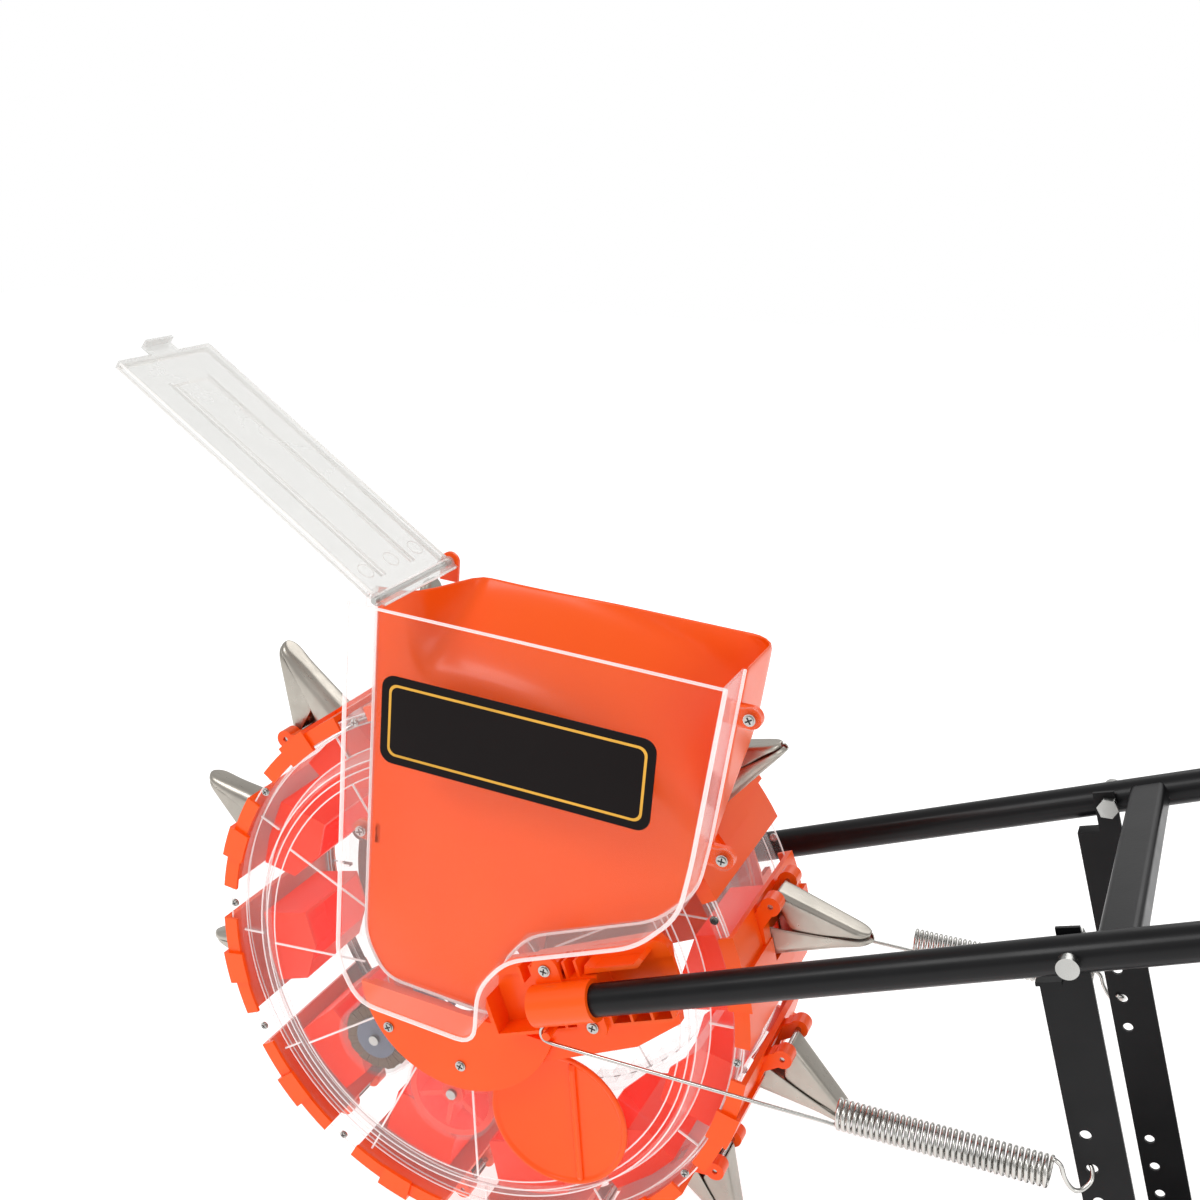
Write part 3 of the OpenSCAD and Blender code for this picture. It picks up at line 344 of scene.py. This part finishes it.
def makeSpring(side, name, node):
    pivot = [c / mm for c in joints["arm_swing"]["pos_m"]]
    lean = math.radians(plan["armLean"])
    s, off = plan["hookHole"], plan["holeLine"]
    hook = (pivot[0] + s * math.sin(lean) + off * math.cos(lean),
            pivot[2] - s * math.cos(lean) + off * math.sin(lean))
    peg = plan["springPeg"]
    span = Vector((hook[0] - peg[0], 0, hook[1] - peg[1]))
    length = span.length
    along, up = span.normalized(), Vector((-span.z, 0, span.x)).normalized()
    start = Vector((peg[0], side * plan["tubeY"], peg[1]))
    inward = -side

    def at(a, u, y=0.0):
        p = start + along * a + up * u
        p.y += y
        return p

    k = springShape
    end = length - k["tail"]
    begin = end - k["coilLength"]
    r = k["coilRadius"]
    path = smoothPath([at(a, u, inward * y) for a, u, y in k["pegHook"]], 5)
    path += [at(4 + (begin - 16) * t / 6, -6 - 2.4 * t / 6) for t in range(1, 6)]
    path += [at(begin - 5, -r + 0.3), at(begin - 1.5, -r)]
    count = k["turns"] * k["perTurn"]
    for i in range(count + 1):
        a = -math.pi / 2 + 2 * math.pi * (k["turns"] + 0.5) * i / count
        path.append(at(begin + k["coilLength"] * i / count, r * math.sin(a), r * math.cos(a)))
    path += smoothPath([at(end + a, u, inward * y) for a, u, y in k["armHook"]]
                       + [at(length + 0.5, -4, inward * 7), at(length, 0.3, inward * 12.5),
                          at(length - 4, 3, inward * 17)], 6)
    verts, faces = tubeAlong(path, k["wire"])
    spring = meshPiece(name, verts, faces, "wire", None, (node,))
    first, last = at(begin, 0) * mm, at(length - 6, 0) * mm
    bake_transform(spring)


makeSpring(-1, "nearHelicalSpring", "near_spring")
makeSpring(1, "farHelicalSpring", "far_spring")
print("springs wound")

beakShape = {
    "sheet": 1.2, "fixedBase": (209.5, -9.0), "fixedTip": (281.4, -1.6), "fixedHalf": (12.9, 9.2),
    "movingBase": (222.5, 39.5), "movingTip": (280.6, 4.2), "movingHalf": (11.0, 8.2),
}


def channelVerts(base, tip, halves, depthAt, side, roundShare):
    # a tapered channel: its back runs from base to tip, its cheeks stand to one side
    verts, faces = [], []
    rows, arc = 16, 6
    base, tip = Vector((base[0], 0, base[1])), Vector((tip[0], 0, tip[1]))
    run = (tip - base).normalized()
    out = Vector((-run.z, 0, run.x)) * side
    for i in range(rows + 1):
        s = i / rows
        s = s if s < 0.5 else 0.5 + 0.5 * math.sin((s - 0.5) * math.pi)
        half = halves[0] + (halves[1] - halves[0]) * s
        nose = (s - 0.87) / 0.13
        if nose > 0:
            half *= math.sqrt(max(1 - 0.97 * nose * nose, 0.02))
        depth = max(depthAt(s), 0.6)
        corner = min(half * roundShare, depth * 0.8)
        row = [(-half, depth), (-half, corner + (depth - corner) * 0.4)]
        for k in range(arc + 1):
            a = math.pi / 2 * k / arc
            row.append((-half + corner * (1 - math.cos(a)), corner * (1 - math.sin(a))))
        row += [(-w, d) for w, d in reversed(row)]
        centre = base.lerp(tip, s)
        verts += [centre + out * d + Vector((0, w, 0)) for w, d in row]
        width = len(row)
    for i in range(rows):
        for k in range(width - 1):
            faces.append((i * width + k, i * width + k + 1, (i + 1) * width + k + 1, (i + 1) * width + k))
    return verts, faces


def fixedCheek(s):
    return 22.5 * (1 - s) ** 1.15 + 3.2


def movingCheek(s):
    return 7 + 17 * smoothStep(0, 0.35, s) - 20.5 * smoothStep(0.3, 1, s)


def makeBeaks():
    k = beakShape
    fixed = channelVerts(k["fixedBase"], k["fixedTip"], k["fixedHalf"], fixedCheek, 1, 0.72)
    moving = channelVerts(k["movingBase"], k["movingTip"], k["movingHalf"], movingCheek, -1, 0.35)
    for i in range(plan["stations"]):
        turn = spokeMatrix(plan["tipPhase"] + 360 / plan["stations"] * i)
        for label, (verts, faces), body, node in (
                ("fixedBeak%d" % (i + 1), fixed, "drum", "fixed_beaks"),
                ("movingBeak%d" % (i + 1), moving, "beak_%d" % (i + 1), "moving_beak_%d" % (i + 1))):
            piece = meshPiece(label, [turn @ Vector(v) for v in verts], faces, "stainless", body,
                              (node,))
            addModifier(piece, "SOLIDIFY", "sheet", thickness=k["sheet"] * mm, offset=0)
            addModifier(piece, "SUBSURF", "smooth", levels=1, render_levels=1)


makeBeaks()
print("beaks folded")

tubShape = {
    "outline": [(-79, 286), (-79, 18), (-61, -11), (31, -14), (31, 30), (50, 58), (140, 98), (166, 128),
                (171, 164), (180, 286)],
    "round": 12.0, "centre": (0.0, 120.0), "wall": 2.2, "low": -78.8, "deep": -16.2,
    "shelfFrom": 226.0, "shelfTo": 296.0, "creaseFrom": -52.0, "creaseTo": -34.0, "fillet": 9.0,
}


def roundedOutline(points, radius, perCorner=5, spacing=9.0):
    # the open outline with its inner corners rounded and its straights divided
    out = [Vector(points[0])]
    for i in range(1, len(points) - 1):
        a, b, c = Vector(points[i - 1]), Vector(points[i]), Vector(points[i + 1])
        r = min(radius, (b - a).length * 0.45, (c - b).length * 0.45)
        p, q = b + (a - b).normalized() * r, b + (c - b).normalized() * r
        for k in range(perCorner + 1):
            t = k / perCorner
            out.append((1 - t) ** 2 * p + 2 * t * (1 - t) * b + t * t * q)
    out.append(Vector(points[-1]))
    dense = [out[0]]
    for p in out[1:]:
        gap = (p - dense[-1]).length
        start = dense[-1]
        for k in range(1, int(gap / spacing) + 1):
            dense.append(start.lerp(p, k / (int(gap / spacing) + 1)))
        dense.append(p)
    return dense


def tubDepth(u, v, edgeGap):
    k = tubShape
    x, _, z = leaned(u, 0, v)
    shelf = smoothStep(k["shelfFrom"], k["shelfTo"], math.hypot(x, z))
    shelf *= smoothStep(k["creaseFrom"], k["creaseTo"], u)
    y = k["low"] + (k["deep"] - k["low"]) * shelf
    f = k["fillet"] * (0.15 + 0.85 * shelf)
    if edgeGap < f:
        y -= f - math.sqrt(f * f - (f - edgeGap) ** 2)
    return max(y, -80.0)


def makeTub():
    k = tubShape
    rim = roundedOutline(k["outline"], k["round"])
    top = [Vector((rim[-1].x + (rim[0].x - rim[-1].x) * t / 24, plan["hopperTop"])) for t in range(1, 24)]
    loop = rim + top
    centre = Vector(k["centre"])
    shares = [1.0, 0.99, 0.975, 0.955, 0.93] + [0.9 - 0.045 * i for i in range(20)]
    verts, faces = [], []
    wallRows = 7
    for share in shares:
        for p in loop:
            q = centre + (p - centre) * share
            gap = min((q - r).length for r in rim) if share > 0.8 else 99
            verts.append(leaned(q.x, tubDepth(q.x, q.y, gap), q.y))
    count = len(loop)
    for i in range(len(shares) - 1):
        for j in range(count):
            n = (j + 1) % count
            faces.append((i * count + j, i * count + n, (i + 1) * count + n, (i + 1) * count + j))
    verts.append(leaned(centre.x, tubDepth(centre.x, centre.y, 99), centre.y))
    last = (len(shares) - 1) * count
    for j in range(count):
        faces.append((last + j, last + (j + 1) % count, len(verts) - 1))
    first = len(verts)
    for i in range(1, wallRows + 1):
        for p in rim:
            y = tubDepth(p.x, p.y, 0)
            verts.append(leaned(p.x, y + (-80.0 - y) * i / wallRows, p.y))
    span = len(rim)
    for i in range(wallRows):
        for j in range(span - 1):
            a = [first + (i - 1) * span + j, first + (i - 1) * span + j + 1] if i else [j, j + 1]
            faces.append((a[1], a[0], first + i * span + j, first + i * span + j + 1))
    tub = meshPiece("orangeHopperTub", verts, faces, "orange", "frame", ("hopper_tub",))
    addModifier(tub, "SOLIDIFY", "wall", thickness=k["wall"] * mm, offset=0)
    addModifier(tub, "SUBSURF", "smooth", levels=1, render_levels=1)


makeTub()
print("tub moulded")

labelShape = {"centre": (46, 212), "half": (96, 31), "corner": 9, "thick": 0.7, "goldIn": 5.5, "goldWide": 1.8}


def roundRect(half, corner, steps=6):
    pts = []
    for sx, sy, a0 in ((1, 1, 0), (-1, 1, 90), (-1, -1, 180), (1, -1, 270)):
        for i in range(steps + 1):
            a = math.radians(a0 + 90 * i / steps)
            pts.append((sx * (half[0] - corner) + corner * math.cos(a),
                        sy * (half[1] - corner) + corner * math.sin(a)))
    return pts


def plateVerts(outer, inner, centre, yBack, yFront):
    # a flat ring, or a plate when inner is None, drawn in the hopper's frame
    verts, faces = [], []
    n = len(outer)
    loops = [outer] if inner is None else [outer, inner]
    for y in (yBack, yFront):
        for loop in loops:
            verts += [leaned(centre[0] + p[0], y, centre[1] + p[1]) for p in loop]
    m = n * len(loops)
    for i in range(n):
        j = (i + 1) % n
        faces.append((i, j, m + j, m + i))
        if inner is not None:
            faces += [(n + j, n + i, m + n + i, m + n + j), (j, i, n + i, n + j),
                      (m + i, m + j, m + n + j, m + n + i)]
    if inner is None:
        faces += [tuple(reversed(range(n))), tuple(range(m, m + n))]
    return verts, faces


def makeLabel():
    k = labelShape
    front = -plan["hopperFront"]
    half, corner = k["half"], k["corner"]
    verts, faces = plateVerts(roundRect(half, corner), None, k["centre"], front + 0.1, front - k["thick"])
    meshPiece("plainLabel", verts, faces, "label", "frame", ("badge_plate",), smooth=False)
    a, b = k["goldIn"], k["goldIn"] + k["goldWide"]
    outer = roundRect((half[0] - a, half[1] - a), corner - 3)
    inner = roundRect((half[0] - b, half[1] - b), corner - 4)
    verts, faces = plateVerts(outer, inner, k["centre"], front - k["thick"] + 0.1, front - k["thick"] - 0.12)
    meshPiece("goldBorder", verts, faces, "gold", "frame", smooth=False)


makeLabel()
print("label placed")

def ringPath(radius, y, steps=120):
    return [(radius * math.cos(2 * math.pi * i / steps), y, radius * math.sin(2 * math.pi * i / steps))
            for i in range(steps + 1)]


def wires(name, paths, radius, finish, body, sides=6):
    # several round beads joined in one piece
    verts, faces = [], []
    for path in paths:
        v, f = tubeAlong(path, radius, sides)
        faces += [tuple(len(verts) + k for k in face) for face in f]
        verts += v
    return meshPiece(name, verts, faces, finish, body)


# rings are (radius, y), the faces are where the ribs lie on the dish and on the outer ring
drumLines = {
    "rings": [(206.6, -65.5), (198.6, -58.4), (180.4, -58.4), (175.0, -72.2),
              (170.0, -72.3), (163.5, -72.3), (66.0, -72.3), (201.5, -52.0), (206.6, 65.5), (198.6, 58.4)],
    "bead": 0.55, "ribBead": 0.8, "ribs": 12, "ribPhase": 2.0,
    "innerRib": (84.0, 163.0), "outerRib": (181.0, 198.0), "dishFace": 73.1, "ringFace": 63.0, "doorClear": 62,
}


def overDoor(p):
    centre = Vector(joints["door_turn"]["pos_m"]) / mm
    return math.hypot(p.x - centre.x, p.z - centre.z) < drumLines["doorClear"]


def makeDrumLines():
    k = drumLines
    # beads along the drum's rings and ribs, drawn whiter and glowing as painted highlight lines
    wires("clearDrumRings", [ringPath(r, y) for r, y in k["rings"]], k["bead"], "clearEdgeHighlight", "drum")
    paths = []
    for i in range(k["ribs"]):
        turn = spokeMatrix(k["ribPhase"] + 360 / k["ribs"] * i)
        for side in (-1, 1):
            inner = [turn @ Vector((r, side * k["dishFace"], 0)) for r in k["innerRib"]]
            if side > 0 or not overDoor(inner[0].lerp(inner[1], 0.5)):
                paths.append(inner)
            paths.append([turn @ Vector((r, side * k["ringFace"], 0)) for r in k["outerRib"]])
    wires("clearDrumRibs", paths, k["ribBead"], "clearEdgeHighlight", "drum")


makeDrumLines()
print("drum lines laid")

coverLines = {"bead": 1.1, "lip": 1.5, "lipIn": 0.9, "jointOut": 1.2, "topRun": (-79, 50, 180), "topDrop": 0.6}


def makeCoverLines():
    k = coverLines
    rim = roundedOutline(tubShape["outline"], tubShape["round"] + 2)
    front = [leaned(p.x, -plan["hopperFront"] + k["lipIn"], p.y) for p in rim]
    joint = [leaned(p.x, -plan["hopperJoint"] - k["jointOut"], p.y) for p in rim]
    top = [leaned(u, -plan["hopperFront"] + 1.0, plan["hopperTop"] - k["topDrop"]) for u in k["topRun"]]
    # beads along the cover's lip and joint, drawn whiter and glowing as painted highlight lines
    wires("clearCoverLip", [front], k["lip"], "clearEdgeHighlight", "frame")
    wires("clearCoverJoint", [joint, top], k["bead"], "clearEdgeHighlight", "frame")


makeCoverLines()

lidShape = {
    "length": 238.0, "sides": (19.0, 115.0), "open": 148.8, "hinge": (-59.0, 4.5), "lip": 7.0,
    "bead": 0.8, "edgeBead": 0.96, "edgeFrom": 4, "ribs": (45.0, 49.5, 83.0, 87.5), "ribFrom": 14, "ribStop": 26,
    "marks": (-98, -66, -34), "markAt": 22, "markRadius": 6, "markBead": 0.45,
}


def onLid(x, y, z):
    # a point drawn on the lid from its hinge, at the open angle it is modelled in
    a = math.radians(lidShape["open"])
    u, v = x * math.cos(a) - z * math.sin(a), x * math.sin(a) + z * math.cos(a)
    hinge = lidShape["hinge"]
    return leaned(u + hinge[0], y, v + plan["hopperTop"] + hinge[1])


def makeLidLines():
    k = lidShape
    end = k["length"] - 2
    stop = end - k["ribStop"]
    near, far = -k["sides"][1], -k["sides"][0]
    start = k["edgeFrom"]
    rails = [[onLid(start, y, 3.2), onLid(end, y, 3.2)] for y in (near + 0.8, far - 0.8)]
    rails.append([onLid(end, near + 1, 3.0), onLid(end, far - 1, 3.0)])
    rails += [[onLid(start, y, -1.4), onLid(end, y, -1.4)] for y in (near, far)]
    # beads along the lid's edges, ribs and marks, drawn whiter and glowing as painted highlight lines
    wires("clearLidEdges", rails, k["edgeBead"], "lidEdgeHighlight", "lid")
    ribs = [[onLid(k["ribFrom"], -y, 1.6), onLid(stop, -y, 1.6)] for y in k["ribs"]]
    ribs.append([onLid(stop, -k["ribs"][0], 1.6), onLid(stop, -k["ribs"][3], 1.6)])
    ribs.append([onLid(0.6 - k["lip"], near + 1, -1.2), onLid(0.6 - k["lip"], far - 1, -1.2)])
    ribs.append([onLid(2, near + 2, -2.0), onLid(2, far - 2, -2.0)])
    wires("clearLidRibs", ribs, k["bead"], "lidEdgeHighlight", "lid")
    around = [math.pi * i / 12 for i in range(25)]
    marks = [[onLid(k["markAt"] + k["markRadius"] * math.cos(t), y + k["markRadius"] * math.sin(t), 0.5)
              for t in around] for y in k["marks"]]
    wires("clearLidMarks", marks, k["markBead"], "lidEdgeHighlight", "lid")


makeLidLines()
print("cover and lid lines laid")

earShape = {"places": ((187, 255, -1), (180.5, 156, -1), (-84.5, 102, 1)), "radius": 7.5, "web": 14.0,
            "back": -76.2, "front": -79.9, "hingeAt": (-59.0, 290.5), "hingeRadius": 7.0,
            "hingeBack": -15.2, "hingeFront": -17.6}


def earOutline(centre, radius, toward, steps=20):
    # half a disc on the free side, closed by a straight web
    cx, cy = centre
    ux, uy = toward
    px, py = -uy, ux
    points = []
    for i in range(steps + 1):
        a = math.pi * i / steps
        c, q = math.cos(a) * radius, math.sin(a) * radius
        points.append((cx - ux * q + px * c, cy - uy * q + py * c))
    reach = earShape["web"]
    points += [(cx + ux * reach - px * radius, cy + uy * reach - py * radius),
               (cx + ux * reach + px * radius, cy + uy * reach + py * radius)]
    return points


def makeEars():
    k = earShape
    verts, faces = [], []
    jobs = [((u, v), k["radius"], (side, 0), k["back"], k["front"]) for u, v, side in k["places"]]
    jobs.append((k["hingeAt"], k["hingeRadius"], (0, -1), k["hingeBack"], k["hingeFront"]))
    for centre, radius, toward, y0, y1 in jobs:
        outline = earOutline(centre, radius, toward)
        n, b = len(outline), len(verts)
        verts += [leaned(u, y0, v) for u, v in outline] + [leaned(u, y1, v) for u, v in outline]
        faces += [(b + i, b + (i + 1) % n, b + n + (i + 1) % n, b + n + i) for i in range(n)]
        faces += [tuple(range(b + n - 1, b - 1, -1)), tuple(range(b + n, b + 2 * n))]
    meshPiece("hopperEars", verts, faces, "orange", "frame", smooth=False)


makeEars()
print("ears added")

doorShape = {"radius": 53.0, "rimHigh": 3.2, "rimWide": 3.4, "base": 72.3, "plug": 47.7, "plugIn": 69.5,
             "ribAt": 14.0, "ribWide": 4.5, "ribHigh": 3.0, "tilt": 4.0, "steps": 72}


def makeDoor():
    k = doorShape
    centre = Vector(joints["door_turn"]["pos_m"]) / mm
    r, high, wide = k["radius"], k["rimHigh"], k["rimWide"]
    profile = [(0, k["plugIn"]), (k["plug"] - 1, k["plugIn"]), (k["plug"], k["plugIn"] + 1), (k["plug"], k["base"]),
               (r - 0.6, k["base"]), (r, k["base"] + 0.6), (r, k["base"] + high - 0.9), (r - 0.9, k["base"] + high),
               (r - wide + 0.9, k["base"] + high), (r - wide, k["base"] + high - 0.9),
               (r - wide - 0.8, k["base"] + 1.5), (r - wide - 2, k["base"] + 1.2), (0, k["base"] + 1.2)]
    steps = k["steps"]
    verts, faces = [], []
    for i in range(steps):
        a = 2 * math.pi * i / steps
        verts += [(centre.x + q * math.cos(a), -y, centre.z + q * math.sin(a)) for q, y in profile]
    n = len(profile)
    for i in range(steps):
        for j in range(n - 1):
            a, b = i * n + j, ((i + 1) % steps) * n + j
            faces.append((a, b, b + 1, a + 1))
    door = meshPiece("cleanOutDoorDisc", verts, faces, "orange", "clean_out_door",
                     ("clean_out_door",))
    addModifier(door, "WELD", "close centre", merge_threshold=0.01 * mm)
    addModifier(door, "EDGE_SPLIT", "crisp steps", split_angle=math.radians(50))
    half = math.sqrt((r - wide) ** 2 - k["ribAt"] ** 2)
    tilt = math.radians(k["tilt"])
    ribVerts, ribFaces = [], []
    for z, taper in ((-half, 0.5), (-half + 4, 1), (half - 4, 1), (half, 0.5)):
        x = k["ribAt"] - z * math.tan(tilt)
        w, h = k["ribWide"] / 2, k["ribHigh"] * taper
        ribVerts += [(centre.x + x + q, -(k["base"] + 1.0 + y), centre.z + z)
                     for q, y in ((-w, 0), (-w, h - 1), (-w + 1, h), (w - 1, h), (w, h - 1), (w, 0))]
    for i in range(3):
        for j in range(6):
            a, b = i * 6 + j, i * 6 + (j + 1) % 6
            ribFaces.append((a, b, b + 6, a + 6))
    ribFaces += [(5, 4, 3, 2, 1, 0), (18, 19, 20, 21, 22, 23)]
    meshPiece("cleanOutDoorGrip", ribVerts, ribFaces, "orange", "clean_out_door", smooth=False)


makeDoor()
print("door made")

screwShape = {"arm": 3.9, "wide": 0.8, "proud": 0.12, "bodyScale": 1.25, "drumScale": 0.95}


def crossVerts(centre, y, arm, wide, turn, proud):
    # a plus-shaped recess drawn as a thin dark plate of painted shade on a head that faces -Y, or +Y when proud is
    # negative
    w, a = wide / 2, arm / 2
    outline = [(w, w), (w, a), (-w, a), (-w, w), (-a, w), (-a, -w), (-w, -w), (-w, -a), (w, -a), (w, -w),
               (a, -w), (a, w)]
    ca, sa = math.cos(turn), math.sin(turn)
    flat = [(centre[0] + p * ca - q * sa, centre[1] + p * sa + q * ca) for p, q in outline]
    verts = [(x, y, z) for x, z in flat] + [(x, y - proud, z) for x, z in flat]
    n = len(outline)
    faces = [(i, (i + 1) % n, n + (i + 1) % n, n + i) for i in range(n)]
    faces += [tuple(range(n)), tuple(range(2 * n - 1, n - 1, -1))]
    return verts, faces


def islandTops(node):
    # centre and outermost height of every separate head in a node
    mesh = nodes[node].data
    bm = bmesh.new()
    bm.from_mesh(mesh)
    bmesh.ops.remove_doubles(bm, verts=bm.verts, dist=0.00001)
    seen, tops = set(), []
    for start in bm.verts:
        if start in seen:
            continue
        stack, island = [start], []
        seen.add(start)
        while stack:
            v = stack.pop()
            island.append(v.co.copy())
            for e in v.link_edges:
                w = e.other_vert(v)
                if w not in seen:
                    seen.add(w)
                    stack.append(w)
        side = -1 if sum(v.y for v in island) < 0 else 1
        far = max(v.y * side for v in island)
        top = [v for v in island if v.y * side > far - 0.0001]
        mid = sum(top, Vector()) / len(top)
        tops.append((mid.x / mm, side * far / mm, mid.z / mm, side))
    bm.free()
    return tops


def makeCrosses():
    k = screwShape
    for name, node, body, scale in (("bodyScrewCrosses", "body_screws", "frame", k["bodyScale"]),
                                    ("drumScrewCrosses", "drum_screws", "drum", k["drumScale"])):
        verts, faces = [], []
        for x, y, z, side in islandTops(node):
            v, f = crossVerts((x, z), y, k["arm"] * scale, k["wide"] * scale, 6.28 * rnd(),
                              -side * k["proud"])
            faces += [tuple(len(verts) + i for i in face) for face in f]
            verts += v
        meshPiece(name, verts, faces, "paintedSlotShade", body, smooth=False)


makeCrosses()
print("screw heads finished")

brushShape = {"tufts": 46, "layers": 3, "inner": 16.0, "outer": 27.6, "out": (36.5, 54.5),
              "rootWide": 0.055, "tipWide": 0.068, "lean": 0.06, "uneven": 1.6, "overlap": 3.4}


def makeBrush():
    k = brushShape
    centre = Vector(joints["brush_spin"]["pos_m"]) / mm
    verts, faces = [], []
    for i in range(k["tufts"]):
        a = 2 * math.pi * i / k["tufts"]
        for layer in range(k["layers"]):
            y0 = k["out"][0] + (k["out"][1] - k["out"][0]) * layer / k["layers"]
            y1 = y0 + (k["out"][1] - k["out"][0]) / k["overlap"]
            lean = (rnd() - 0.5) * k["lean"]
            tip = k["outer"] - k["uneven"] * rnd()
            ring = []
            for r, w in ((k["inner"], k["rootWide"]), (tip, k["tipWide"])):
                t = a + (lean if r > 20 else 0)
                ring += [(centre.x + r * math.cos(t + s), -y, centre.z + r * math.sin(t + s))
                         for s, y in ((-w, y0), (w, y0), (w, y1), (-w, y1))]
            b = len(verts)
            verts += ring
            faces += [tuple(b + q for q in f)
                      for f in ((0, 1, 5, 4), (1, 2, 6, 5), (2, 3, 7, 6), (3, 0, 4, 7), (4, 5, 6, 7))]
    meshPiece("brushTufts", verts, faces, "bristle", "brush", ("brush_bristles",), smooth=False)


makeBrush()
print("brush filled")

studio = {
    "floorGrey": 0.93, "floorGlow": 0.46, "sky": 0.62, "backdrop": 1.0,
    "floorSize": 6, "aim": (0.05, 0, 0.08),
    "key": ((-0.9, -1.5, 2.0), 1.3, 20.0), "fill": ((1.9, -1.2, 0.9), 1.2, 7.0), "back": ((0.3, 1.8, 1.6), 1.4, 9.0),
}
cameraSetup = {
    "place": (0.4636, -0.9105, 0.5812), "azimuth": 23.2, "elevation": 17.2,
    "focal": 1510 / 1200,       # focal length over the picture's width
}


def makeFloor():
    mesh = bpy.data.meshes.new("floor")
    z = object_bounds()[0].z
    size = studio["floorSize"]
    mesh.from_pydata([(-size, -size, z), (size, -size, z), (size, size, z), (-size, size, z)], [], [(0, 1, 2, 3)])
    floor = bpy.data.objects.new("floor", mesh)
    scene.collection.objects.link(floor)
    mat, tree, shader = newMaterial("pale floor")
    pale = studio["floorGrey"]
    tree.links.new(ramp(tree, noise(tree, 3.0), 0.2, 0.8, grey(pale), grey(pale + 0.02)),
                   shader.inputs["Base Color"])
    shader.inputs["Roughness"].default_value = 0.9
    shader.inputs["Emission Color"].default_value = (1, 1, 1, 1)
    shader.inputs["Emission Strength"].default_value = studio["floorGlow"]
    mesh.materials.append(mat)


def softbox(name):
    place, size, power = studio[name]
    light = bpy.data.lights.new(name, "AREA")
    light.shape = "RECTANGLE"
    light.size, light.size_y = size, size * 0.7
    light.energy = power
    lamp = bpy.data.objects.new(name, light)
    lamp.location = place
    lamp.rotation_euler = (Vector(studio["aim"]) - Vector(place)).to_track_quat("-Z", "Y").to_euler()
    scene.collection.objects.link(lamp)


def makeStudio():
    world = bpy.data.worlds.new("studio")
    world.use_nodes = True
    tree = world.node_tree
    sky = tree.nodes["Background"]
    sky.inputs[0].default_value = (1, 1, 1, 1)
    sky.inputs[1].default_value = studio["sky"]
    backdrop = addNode(tree, "ShaderNodeBackground")
    backdrop.inputs[1].default_value = studio["backdrop"]
    backdrop.inputs[0].default_value = (1, 1, 1, 1)
    path = addNode(tree, "ShaderNodeLightPath")
    mix = addNode(tree, "ShaderNodeMixShader")
    tree.links.new(path.outputs["Is Camera Ray"], mix.inputs[0])
    tree.links.new(sky.outputs[0], mix.inputs[1])
    tree.links.new(backdrop.outputs[0], mix.inputs[2])
    tree.links.new(mix.outputs[0], tree.nodes["World Output"].inputs[0])
    scene.world = world
    for name in ("key", "fill", "back"):
        softbox(name)


def makeCamera():
    camera = bpy.data.objects.new("camera", bpy.data.cameras.new("camera"))
    camera.data.lens = cameraSetup["focal"] * camera.data.sensor_width
    camera.location = cameraSetup["place"]
    camera.rotation_euler = (math.radians(90 - cameraSetup["elevation"]), 0, math.radians(cameraSetup["azimuth"]))
    scene.collection.objects.link(camera)
    scene.camera = camera


makeFloor()
makeStudio()
makeCamera()
scene.view_settings.view_transform = "Standard"
print("studio ready")
